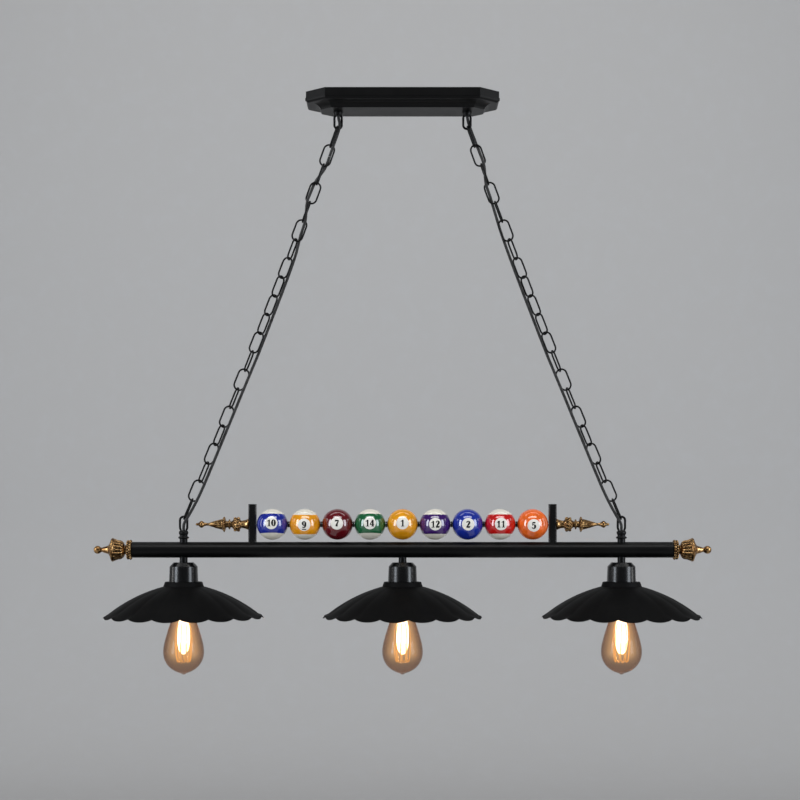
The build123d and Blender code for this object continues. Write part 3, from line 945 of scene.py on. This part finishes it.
# ------------------------------------------------------------------ pieces
class Piece:
    """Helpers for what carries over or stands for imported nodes."""

    @staticmethod
    def report(name: str, note: str) -> None:
        """Logs one finished piece.

        Args:
            name: The piece.
            note: What was done.
        """
        log.info("%s: %s", name, note)

    @staticmethod
    def body_of_node(node: str) -> str:
        """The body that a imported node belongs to.

        Args:
            node: Name of the node.

        Returns:
            Name of the body.
        """
        return frame["nodes"][node]["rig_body"]

    @classmethod
    def carry(cls, node: str, finish: Finish, slot: str) -> None:
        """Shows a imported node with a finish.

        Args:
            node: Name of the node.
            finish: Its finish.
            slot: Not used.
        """
        shown = frame["nodes"][node]
        shown.data.materials.clear()
        shown.data.materials.append(finish.material())
        cls.report(node, finish.name)

    @classmethod
    def stand_in(cls, made: bpy.types.Object, node: str, slot: str) -> None:
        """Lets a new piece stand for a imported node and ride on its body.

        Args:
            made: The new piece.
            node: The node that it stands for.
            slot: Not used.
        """
        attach(made, cls.body_of_node(node))
        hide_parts(node)
        cls.report(made.name, f"stands for {node}")


class Side(Enum):
    """The two ends of the lamp."""

    LEFT = -1
    RIGHT = 1

    @property
    def word(self) -> str:
        """Name used in the nodes, left or right."""
        return self.name.lower()


@dataclass(frozen=True)
class Softbox:
    """One rectangular light of the studio. Its place and size are in metres, its power in watts."""

    name: str
    place: tuple[float, float, float]
    size: tuple[float, float]
    power: float
    colour: Colour = (1.0, 1.0, 1.0)
    aim: tuple[float, float, float] = (0.0, 0.0, -0.6)

    def build(self) -> None:
        """Adds the light."""
        data = bpy.data.lights.new(self.name, "AREA")
        data.shape = "RECTANGLE"
        data.size, data.size_y = self.size
        data.energy = self.power
        data.color = self.colour
        made = bpy.data.objects.new(self.name, data)
        made.location = self.place
        ahead = Vector(self.aim) - Vector(self.place)
        made.rotation_euler = ahead.to_track_quat("-Z", "Y").to_euler()
        bpy.context.scene.collection.objects.link(made)


@dataclass
class Studio:
    """Camera, light and the pale floor with its backdrop."""

    camera_place: tuple[float, float, float] = (-0.004, -2.54, -0.6715)
    lens: float = 72.2
    sensor: float = 36.0
    shift_up: float = 0.15
    floor_z: float = -1.32
    wall_y: float = 1.9
    cove: float = 0.7
    cove_steps: int = 16
    half_width: float = 5.0
    near_y: float = -6.0
    wall_top: float = 3.2
    world_grey: float = 0.8
    world_strength: float = 0.1

    COOL: ClassVar[Colour] = (0.86, 0.92, 1.0)
    SOFTBOXES: ClassVar[tuple[Softbox, ...]] = (
        Softbox("Key", (-2.3, -1.35, -0.2), (0.7, 2.0), 42.0, COOL),
        Softbox("Fill", (2.3, -1.35, -0.2), (0.9, 2.0), 44.0, COOL),
        Softbox("Rim left", (-2.4, 0.1, -0.3), (0.5, 1.8), 9.0),
        Softbox("Rim right", (2.4, 0.1, -0.3), (0.5, 1.8), 9.0),
        Softbox("Top", (0.0, -1.3, 1.4), (2.4, 0.5), 26.0),
        Softbox("Wall wash", (0.0, 0.3, 1.9), (4.0, 0.6), 20.0, aim=(0.0, 1.9, -0.4)),
    )

    def camera(self) -> None:
        """Sets the camera, level and straight ahead."""
        data = bpy.data.cameras.new("Camera")
        data.lens = self.lens
        data.sensor_width = self.sensor
        data.shift_y = self.shift_up
        made = bpy.data.objects.new("Camera", data)
        made.location = self.camera_place
        made.rotation_euler = Euler((math.radians(90.0), 0.0, 0.0))
        bpy.context.scene.collection.objects.link(made)
        bpy.context.scene.camera = made

    def backdrop(self) -> None:
        """Makes the floor, which curves up into the backdrop."""
        line = [(self.near_y, self.floor_z), (self.wall_y - self.cove, self.floor_z)]
        for i in range(1, self.cove_steps + 1):
            turn = math.pi / 2 * i / self.cove_steps
            line.append((self.wall_y - self.cove + self.cove * math.sin(turn),
                         self.floor_z + self.cove - self.cove * math.cos(turn)))
        line.append((self.wall_y, self.wall_top))
        shape = Shape()
        shape.grid([[(-self.half_width, y, z), (self.half_width, y, z)] for y, z in line], closed=False)
        shape.build("Backdrop", [BACKDROP])

    def light(self) -> None:
        """Sets the soft light."""
        bpy.context.scene.view_settings.view_transform = "Standard"
        world = bpy.data.worlds.new("Studio")
        bpy.context.scene.world = world
        world.use_nodes = True
        sky = world.node_tree.nodes["Background"].inputs
        sky["Color"].default_value = rgba((self.world_grey,) * 3)
        sky["Strength"].default_value = self.world_strength
        for softbox in self.SOFTBOXES:
            softbox.build()

    def build(self) -> None:
        """Makes the whole studio."""
        self.camera()
        self.backdrop()
        self.light()


@dataclass
class Cords:
    """The two leads. The lower stretch of each rides on its chain, and the upper one is a fixed
    bent tube between the canopy and the first links."""

    diameter: float = 0.0046
    lengths: dict[Side, float] = field(default_factory=lambda: {Side.LEFT: 0.65, Side.RIGHT: 0.648})
    top_lengths: dict[Side, float] = field(default_factory=lambda: {Side.LEFT: 0.079, Side.RIGHT: 0.076})
    bend_from: float = -0.04
    bend_to: float = -0.065
    top_steps: int = 10

    TOPS: ClassVar[tuple[tuple[Side, Route], ...]] = (
        (Side.LEFT, ((-102, 0, -21.5), (-102, 0, -34), (-97.9, -4.8, -49), (-109.7, -4.5, -81.3),
                     (-115.5, 0, -95.9))),
        (Side.RIGHT, ((102, 0, -21.5), (102, 0, -35), (106.8, 4.9, -49), (118.2, 4.5, -78.2),
                      (123.2, 0, -93.1))),
    )
    ROUTES: ClassVar[tuple[tuple[Side, Route], ...]] = (
        (Side.LEFT, (
            (-115.7, 0.15, -96.5), (-120.5, 4.5, -110.9), (-130.2, 4.1, -124.2), (-139.9, 4.5, -137.5),
            (-145, 0, -152.5), (-150.9, -4.5, -167.2), (-152.2, -4.1, -183.6), (-153.5, -4.5, -200),
            (-159.4, 0, -214.7), (-164.2, 4.4, -229.8), (-171.4, 3.9, -260.8), (-228.4, 3.9, -408.7),
            (-240.1, -3.9, -438.1), (-312.3, -4, -613.9), (-325.9, -4.8, -643), (-335.2, -5.2, -660),
            (-341, -5.4, -670), (-346, -4.6, -678), (-346.5, 0.2, -689), (-346.5, 0, -695.5))),
        (Side.RIGHT, (
            (123.4, -0.15, -93.7), (129, -4.5, -107.8), (130.2, -4.1, -124.2), (131.4, -4.5, -140.6),
            (137.3, 0, -155.4), (142.4, 4.5, -170.3), (160.4, 3.9, -231.2), (228.4, 3.9, -408.7),
            (240.1, -3.9, -438.1), (312.3, -4, -613.9), (325.9, -4.8, -643), (335.2, -5.2, -660),
            (341, -5.4, -670), (346, -4.6, -678), (346.5, 0.2, -689), (346.5, 0, -695.5))),
    )

    def lower(self, side: Side, route: Route) -> None:
        """Lays the stretch beside the chain.

        Args:
            side: Left or right.
            route: Control points in mm.
        """
        curve = bpy.data.curves.new(f"Lead_{side.word}", "CURVE")
        curve.dimensions = "3D"
        spline = curve.splines.new("NURBS")
        spline.points.add(len(route) - 1)
        for point, place in zip(spline.points, route):
            point.co = (*(Vector(place) * MM), 1.0)
        spline.order_u = 3
        spline.use_endpoint_u = True
        spline.resolution_u = 10
        curve.bevel_depth = self.diameter / 2
        curve.bevel_resolution = 5
        curve.use_fill_caps = True
        finish = Braid(f"Braided cord {side.word}", length=self.lengths[side], diameter=self.diameter)
        curve.materials.append(finish.material())
        made = bpy.data.objects.new(f"Lead_{side.word}", curve)
        bpy.context.scene.collection.objects.link(made)
        Piece.stand_in(made, f"lead_{side.word}", "cord")

    def upper(self, side: Side, route: Route) -> None:
        """Lays the stretch between the canopy and the first links.

        Args:
            side: Left or right.
            route: Control points in mm.
        """
        line = [p * MM for p in quadratic_spline(route, self.top_steps)]
        shape = Shape()
        rows = tube_rows(line, self.diameter / 2)
        shape.grid(rows)
        shape.fan(rows[0][::-1], line[0])
        shape.fan(rows[-1], line[-1])
        finish = Braid(f"Braided cord top {side.word}", length=self.top_lengths[side],
                       diameter=self.diameter)
        made = shape.build(f"Lead_top_{side.word}", [finish])
        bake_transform(made)
        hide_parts(f"lead_top_{side.word}")
        Piece.report(made.name, "bends between canopy and hanger")

    def build(self) -> None:
        """Lays both leads."""
        for side, route in self.TOPS:
            self.upper(side, route)
        for side, route in self.ROUTES:
            self.lower(side, route)


@dataclass
class Hardware:
    """What is shown just as it was packed, by finish."""

    finishes: dict[str, tuple[Finish, str]] = field(default_factory=lambda: {
        "canopy_cover": (BLACK_IRON, "black_iron"),
        "ceiling_bracket": (ZINC, "zinc"),
        "canopy_screws": (BLACK_IRON, "black_iron"),
        "terminal_block": (TERMINAL, "terminal"),
        "earth_screw": (ZINC, "zinc"),
        "canopy_loop_left": (BLACK_IRON, "black_iron"),
        "canopy_loop_right": (BLACK_IRON, "black_iron"),
        "canopy_loop_nuts": (ZINC, "zinc"),
        "canopy_wiring": (WIRE, "wire"),
        "top_link_left": (BLACK_CHAIN, "black_chain"),
        "top_link_right": (BLACK_CHAIN, "black_chain"),
        "chain_left": (BLACK_CHAIN, "black_chain"),
        "chain_right": (BLACK_CHAIN, "black_chain"),
        "bar_tube": (BLACK_IRON, "black_iron"),
        "bar_loop_left": (BLACK_IRON, "black_iron"),
        "bar_loop_right": (BLACK_IRON, "black_iron"),
        "bar_wiring": (WIRE, "wire"),
        "lamp_nipples": (ZINC, "zinc"),
        "nipple_nut": (ZINC, "zinc"),
        "lamp_stems": (BLACK_IRON, "black_iron"),
        "end_plugs": (ZINC, "zinc"),
        "ball_post_left": (BLACK_POST, "black_iron"),
        "ball_post_right": (BLACK_POST, "black_iron"),
        "ball_rod": (ZINC, "zinc"),
        "ball_spacers": (BLACK_IRON, "black_iron"),
        "lampholders": (HOLDER, "holder"),
        "shade_rings": (HOLDER, "holder"),
        "socket_cup_left": (BLACK_CUP, "black_iron"),
        "socket_cup_middle": (BLACK_CUP, "black_iron"),
        "socket_cup_right": (BLACK_CUP, "black_iron"),
        "bulb_cap_left": (BULB_METAL, "bulb_cap"),
        "bulb_cap_middle": (BULB_METAL, "bulb_cap"),
        "bulb_cap_right": (BULB_METAL, "bulb_cap"),
    })

    def build(self) -> None:
        """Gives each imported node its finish."""
        for node, (finish, slot) in self.finishes.items():
            Piece.carry(node, finish, slot)


@dataclass
class EndFinial:
    """Cast finial at one end of the bar: bead rings, a gadrooned cup, a lip, a stem and a ball.
    Profile points are distance out, radius and, where there are flutes, their depth."""

    side: Side
    knob_out: float = 55.1
    knob_r: float = 6.35
    flutes: int = 16
    beads: int = 20

    NECK: ClassVar[Profile] = (
        (0.0, 11.0), (1.2, 12.2), (1.8, 12.6), (4.6, 12.8), (7.8, 12.2), (8.8, 9.9), (9.6, 8.4),
        (11.0, 7.0), (12.2, 7.4))
    CUP: ClassVar[Profile] = (
        (13.2, 10.2, 0.05), (14.6, 12.4, 0.1), (16.6, 14.0, 0.16), (19.0, 15.0, 0.18),
        (22.0, 15.3, 0.17), (25.0, 16.2, 0.13), (27.4, 17.2, 0.08), (28.6, 17.6, 0.02))
    LIP: ClassVar[Profile] = ((29.2, 18.0), (30.2, 18.6), (31.2, 18.75), (32.4, 18.4), (33.2, 17.2))
    SHOULDER: ClassVar[Profile] = (
        (33.6, 14.2, 0.0), (34.8, 12.6, 0.05), (36.2, 10.0, 0.1), (37.6, 7.8, 0.06), (39.0, 6.5, 0.0),
        (42.0, 5.5, 0.0), (45.0, 4.6, 0.0), (48.0, 3.5, 0.0), (49.6, 3.8, 0.0), (50.4, 4.4, 0.0))

    def build(self) -> None:
        """Makes the finial."""
        node = f"end_finial_{self.side.word}"
        low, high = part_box(node)
        bar_low, bar_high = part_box("bar_tube")
        start_x = bar_high.x if self.side is Side.RIGHT else bar_low.x
        start = Vector((start_x, (low.y + high.y) / 2, (low.z + high.z) / 2))
        stretches = (smooth(self.NECK, 3), smooth(self.CUP, 5), smooth(self.LIP, 3), smooth(self.SHOULDER, 3))
        knob = [(self.knob_out - self.knob_r * math.cos(t), self.knob_r * math.sin(t))
                for t in (math.radians(a) for a in range(46, 180, 9))]
        profile = [tuple(p) for stretch in stretches for p in stretch]
        profile += [*knob, (self.knob_out + self.knob_r, 0.02)]
        turned = Turning(start, self.side.value, profile, flutes=self.flutes)
        shape = Shape()
        turned.add_skin(shape)
        turned.add_beads(shape, 2.9, 13.9, 2.05, self.beads)
        turned.add_beads(shape, 6.7, 13.6, 1.95, self.beads, shift=0.5)
        made = shape.build(f"End_finial_{self.side.word}", [BRASS], 50.0)
        Piece.stand_in(made, node, "antique_brass")


@dataclass
class SpearFinial:
    """Cast finial on one end of the ball rod: collar, leafy bulge, disc, beaded flange and a spear.
    Profile points are distance out, radius and, where there are flutes, their depth."""

    side: Side
    flutes: int = 10
    leaves: int = 12
    beads: int = 20

    FOOT: ClassVar[Profile] = (
        (0.0, 6.2), (0.05, 8.6), (2.0, 8.6), (3.0, 7.8), (5.0, 7.0), (8.0, 6.3), (11.5, 5.8))
    BULGE: ClassVar[Profile] = (
        (12.6, 7.0, 0.05), (14.4, 8.8, 0.1), (16.6, 9.8, 0.12), (18.8, 10.6, 0.08),
        (21.0, 9.8, 0.12), (23.2, 8.0, 0.1), (25.2, 6.2, 0.05))
    DISC: ClassVar[Profile] = (
        (27.4, 4.6), (28.8, 5.2), (29.1, 7.6), (30.2, 8.1), (31.3, 7.6), (31.8, 5.4), (33.6, 5.0),
        (35.4, 5.4))
    FLANGE: ClassVar[Profile] = ((36.4, 8.8), (37.0, 10.2), (38.6, 11.2), (40.2, 10.2), (41.0, 9.0))
    SPEAR: ClassVar[Profile] = (
        (41.7, 8.7, 0.05), (45.0, 7.9, 0.09), (49.0, 6.8, 0.1), (53.0, 5.7, 0.1), (57.0, 4.4, 0.08),
        (61.0, 3.0, 0.04), (64.0, 2.2, 0.0), (67.0, 2.3, 0.0), (70.0, 3.1, 0.0), (72.6, 5.0, 0.0),
        (75.2, 5.6, 0.0), (77.2, 4.4, 0.0), (78.6, 3.0, 0.0), (80.0, 2.1, 0.0), (81.6, 2.3, 0.0),
        (83.2, 1.4, 0.0), (83.9, 0.05, 0.0))

    def build(self) -> None:
        """Makes the finial."""
        node = f"spear_finial_{self.side.word}"
        low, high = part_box(node)
        post_low, post_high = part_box(f"ball_post_{self.side.word}")
        start_x = post_high.x if self.side is Side.RIGHT else post_low.x
        start = Vector((start_x, (low.y + high.y) / 2, (low.z + high.z) / 2))
        stretches = (self.FOOT, smooth(self.BULGE, 5), self.DISC, smooth(self.FLANGE, 3),
                     smooth(self.SPEAR, 4))
        profile = [tuple(p) for stretch in stretches for p in stretch]
        turned = Turning(start, self.side.value, profile, flutes=self.flutes)
        shape = Shape()
        turned.add_skin(shape)
        turned.add_beads(shape, 16.2, 10.0, 1.7, self.leaves, stretch=1.5)
        turned.add_beads(shape, 21.2, 10.0, 1.6, self.leaves, shift=0.5, stretch=1.5)
        turned.add_beads(shape, 38.6, 10.8, 1.35, self.beads)
        made = shape.build(f"Spear_finial_{self.side.word}", [BRASS], 50.0)
        Piece.stand_in(made, node, "antique_brass")


@dataclass
class Ball:
    """One billiard ball on the rod, with its number on the front and on the back."""

    index: int
    number: str
    colour: Colour
    colour_word: str
    striped: bool
    tilt_deg: float
    digit_height: float = 0.0108
    boldness: float = 1.28
    bore: float = 0.0033
    lift: float = 0.00005
    layers: int = 64
    sides: int = 96
    ink_columns: int = 4

    def build(self) -> None:
        """Makes the ball."""
        node = f"ball_{self.index}"
        low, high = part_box(node)
        middle = (low + high) / 2
        radius = (high.y - low.y) / 2 - 2 * self.lift
        shape = Shape()
        start = math.asin(self.bore / radius)
        rows = []
        for i in range(self.layers + 1):
            polar = start + (math.pi - 2 * start) * i / self.layers
            rows.append([(-radius * math.cos(polar), radius * math.sin(polar) * math.cos(t),
                          radius * math.sin(polar) * math.sin(t))
                         for t in (math.tau * a / self.sides for a in range(self.sides))])
        shape.grid(rows, loop=True)
        for stroke in Digits.strokes(self.number, self.number == "9"):
            for back in (False, True):
                self.ink(shape, stroke, radius, back)
        finish = Resin(f"Ball resin {self.number}", colour=self.colour, radius=radius,
                       striped=self.striped)
        made = shape.build(f"Ball_{self.number}", [finish, NUMBER_INK], 60.0)
        made.location = middle
        made.rotation_euler = Euler((-math.radians(self.tilt_deg), 0.0, 0.0))
        Piece.stand_in(made, node, f"ball_{self.colour_word}_{self.number}")

    def ink(self, shape: Shape, stroke: list[np.ndarray], radius: float, back: bool) -> None:
        """Lays one stroke of the number on the ball.

        Args:
            shape: Where it goes.
            stroke: Points of x, y and half width, in digit heights.
            radius: Radius of the ball.
            back: Whether it goes on the back.
        """
        turn = -1.0 if back else 1.0
        rows = []
        for i, (x, y, half) in enumerate(stroke):
            ahead = stroke[min(i + 1, len(stroke) - 1)][:2] - stroke[max(i - 1, 0)][:2]
            ahead = ahead / max(np.linalg.norm(ahead), 1e-9)
            row = []
            for c in range(self.ink_columns + 1):
                off = half * self.boldness * (2 * c / self.ink_columns - 1)
                across = (x - ahead[1] * off) * self.digit_height
                up = (y + ahead[0] * off) * self.digit_height
                out = math.sqrt(radius ** 2 - across ** 2 - up ** 2) + self.lift
                row.append((turn * across, -turn * out, up))
            rows.append(row)
        shape.grid(rows, closed=False, finish=1)


@dataclass
class Shade:
    """Scalloped umbrella shade of one lamp, with a crease between its panels."""

    place: str
    panels: int = 18
    neck_hole: float = 20.0
    neck_top: float = 29.0
    neck_r: float = 32.0
    neck_drop: float = 7.4
    rim_r: float = 126.3
    drop: float = 57.4
    sagitta: float = 6.1
    wall: float = 1.0
    crease: float = 1.7
    turn_deg: float = 10.0
    scallop: float = 4.8
    scallop_power: float = 1.1
    scallop_from: float = 0.8
    crease_drop: float = 0.6
    steps: int = 12
    rings: int = 26

    def side_line(self, share: float) -> tuple[float, float]:
        """A place down the outside of the shade.

        Args:
            share: 0 at the neck, 1 at the rim.

        Returns:
            Radius and drop in mm.
        """
        run, fall = self.rim_r - self.neck_r, self.drop - self.neck_drop
        chord = math.hypot(run, fall)
        bow = 4.0 * self.sagitta * share * (1.0 - share)
        return (self.neck_r + run * share + bow * fall / chord,
                self.neck_drop + fall * share - bow * run / chord)

    def ring(self, radius: float, drop: float, share: float, middle: Vector, top: float) -> list[Vector]:
        """One ring of the shade.

        Args:
            radius: Radius in mm between the creases.
            drop: Distance below the shade's top in mm.
            share: 0 at the neck, 1 at the rim.
            middle: Centre of the shade.
            top: Height of its top.

        Returns:
            The ring's points.
        """
        row = []
        near_rim = max(0.0, (share - self.scallop_from) / (1.0 - self.scallop_from)) ** 2
        for a in range(self.panels * self.steps):
            pull = (2.0 * (a % self.steps) / self.steps - 1.0) ** 2
            r = radius - self.crease * pull * share
            z = drop - self.scallop * pull ** self.scallop_power * near_rim + self.crease_drop * pull * share
            around = math.tau * a / (self.panels * self.steps) + math.radians(self.turn_deg - 90.0)
            row.append(Vector((middle.x + r * math.cos(around) * MM,
                               middle.y + r * math.sin(around) * MM, top - z * MM)))
        return row

    def build(self) -> None:
        """Makes the shade."""
        node = f"shade_{self.place}"
        low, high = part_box(node)
        middle, top = (low + high) / 2, high.z
        outline: list[tuple[float, float, float]] = [
            (self.neck_hole, 0.0, 0.0), (self.neck_top, 0.0, 0.0), (self.neck_top + 0.5, 0.4, 0.0),
            (self.neck_r, self.neck_drop, 0.0)]
        for i in range(1, self.rings + 1):
            share = i / self.rings
            outline.append((*self.side_line(share), share))
        inner = [(r - 0.35 * self.wall, z + self.wall, s) for r, z, s in outline[::-1]]
        inner[0] = (outline[-1][0] - self.wall * 0.8, outline[-1][1], 1.0)
        shape = Shape()
        shape.grid([self.ring(r, z, s, middle, top) for r, z, s in outline + inner], loop=True)
        made = shape.build(f"Shade_{self.place}", [BLACK_SHADE], 14.0)
        Piece.stand_in(made, node, "black_shade")


@dataclass
class Bulb:
    """Lit bulb of one lamp: amber glass with painted glow and painted edge shade, glowing filament
    strands, their support and a glass stem with painted glow. Outline points are shares of the
    glass's radius and length, or a radius and a drop in mm."""

    place: str
    glass_sides: int = 96
    strands: int = 9
    strand_r: float = 0.0005
    strand_sides: int = 8
    cage_r: float = 13.6
    cage_top: float = 60.0
    cage_bottom: float = 121.0
    cage_shoulder: float = 6.0
    loop_turn: float = 0.82
    stem_sides: int = 32
    stem_above: float = 8.0
    glow_power: float = 1.1
    glow_colour: Colour = (1.0, 0.62, 0.28)
    glow_r: float = 0.012

    GLASS: ClassVar[Profile] = (
        (0.376, 0.0), (0.4, 0.06), (0.5, 0.17), (0.62, 0.27), (0.75, 0.38), (0.87, 0.49),
        (0.955, 0.585), (0.995, 0.665), (0.985, 0.735), (0.915, 0.805), (0.78, 0.87), (0.6, 0.92),
        (0.4, 0.955), (0.22, 0.975), (0.12, 0.985), (0.07, 0.995), (0.01, 0.999))
    FOOT: ClassVar[Profile] = (
        (0.02, 9.0), (9.5, 9.0), (9.5, 15.0), (6.0, 25.0), (4.0, 46.0), (3.6, 54.0))
    # The glass stem above the foot, which carries the painted glow.
    STEM: ClassVar[Profile] = (
        (4.0, 50.0), (8.5, 58.0), (10.0, 72.0), (9.8, 90.0), (7.4, 102.0), (3.6, 108.0), (0.02, 109.0))

    def glass(self) -> None:
        """Makes the glass."""
        node = f"bulb_glass_{self.place}"
        low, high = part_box(node)
        middle, radius = (low + high) / 2, (high.x - low.x) / 2
        length = high.z - low.z
        shape = Shape()
        rows = []
        for r, share in smooth(self.GLASS, 4):
            rows.append([(radius * r * math.cos(t), radius * r * math.sin(t), -length * share)
                         for t in (math.tau * a / self.glass_sides for a in range(self.glass_sides))])
        shape.grid(rows[::-1])
        # The painted glow in the glass stops at four fifths of its length down.
        finish = AmberGlass("Lit amber glass", bottom=-length * 0.8)
        made = shape.build(f"Bulb_glass_{self.place}", [finish], 80.0)
        made.location = (middle.x, middle.y, high.z)
        Piece.stand_in(made, node, "bulb_glass")

    def filament(self) -> None:
        """Makes the support, the glass stem with its painted glow, and the strands."""
        node = f"bulb_filament_{self.place}"
        low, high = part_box(node)
        middle, top = (low + high) / 2, high.z + self.stem_above * MM
        half_way = (self.cage_top + self.cage_bottom) / 2
        shoulder = self.cage_bottom - self.cage_shoulder
        shape = Shape()

        def at(r: float, around: float, down: float) -> Vector:
            """A place by radius, angle and drop from the top."""
            return Vector((middle.x + r * MM * math.cos(around), middle.y + r * MM * math.sin(around),
                           top - down * MM))

        # The foot gets the support's metal, and the stem gets the painted glow.
        for number, outline in ((1, self.FOOT), (2, smooth(self.STEM, 4))):
            turns = [-math.tau * a / self.stem_sides for a in range(self.stem_sides)]
            shape.grid([[at(r, turn, down) for turn in turns] for r, down in outline], finish=number)
        for i in range(self.strands):
            around = math.tau * (i + 0.5) / self.strands
            other = around + math.tau / self.strands * self.loop_turn
            line = smooth([at(2.4, around, self.cage_top - 3.0),
                           at(self.cage_r * 0.8, around, self.cage_top + 4.0),
                           at(self.cage_r, around, half_way),
                           at(self.cage_r * 0.86, around, shoulder),
                           at(self.cage_r * 0.7, (around + other) / 2, self.cage_bottom),
                           at(self.cage_r * 0.86, other, shoulder),
                           at(self.cage_r, other, half_way)], 6)
            shape.grid(tube_rows([Vector(p) for p in line], self.strand_r, self.strand_sides))
        made = shape.build(f"Bulb_filament_{self.place}", [FILAMENT, SUPPORT, PAINTED_GLOW_STEM], 60.0)
        Piece.stand_in(made, node, "filament")
        self.glow(at(0.0, 0.0, half_way), Piece.body_of_node(node))

    def glow(self, place: Vector, body: str) -> None:
        """Adds the light that the filament gives.

        Args:
            place: Where it is.
            body: The body that carries the bulb.
        """
        data = bpy.data.lights.new(f"Glow_{self.place}", "POINT")
        data.energy = self.glow_power
        data.color = self.glow_colour
        data.shadow_soft_size = self.glow_r
        made = bpy.data.objects.new(f"Glow_{self.place}", data)
        made.location = place
        bpy.context.scene.collection.objects.link(made)
        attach(made, body)

    def build(self) -> None:
        """Makes the whole bulb."""
        self.glass()
        self.filament()


BALLS: tuple[Ball, ...] = (
    Ball(1, "10", srgb(28, 44, 150), "blue", True, 6.0),
    Ball(2, "9", srgb(245, 160, 20), "yellow", True, -1.0),
    Ball(3, "7", srgb(104, 14, 24), "maroon", False, 4.0),
    Ball(4, "14", srgb(24, 100, 58), "green", True, 5.3),
    Ball(5, "1", srgb(242, 162, 22), "yellow", False, 5.3),
    Ball(6, "12", srgb(62, 24, 104), "purple", True, 1.0),
    Ball(7, "2", srgb(28, 50, 158), "blue", False, 0.5),
    Ball(8, "11", srgb(206, 26, 22), "red", True, 1.6),
    Ball(9, "5", srgb(250, 112, 40), "orange", False, -4.0),
)

SHADE_TURNS: tuple[tuple[str, float], ...] = (("left", 5.0), ("middle", 4.0), ("right", 10.0))


def main() -> None:
    """Builds the studio and the lamp."""
    logging.basicConfig(level=logging.INFO, format="%(name)s %(message)s")
    Studio().build()
    Cords().build()
    Hardware().build()
    for side in Side:
        EndFinial(side).build()
        SpearFinial(side).build()
    for ball in BALLS:
        ball.build()
    for place, turn_deg in SHADE_TURNS:
        Shade(place, turn_deg=turn_deg).build()
        Bulb(place).build()


if __name__ == "__main__":
    main()
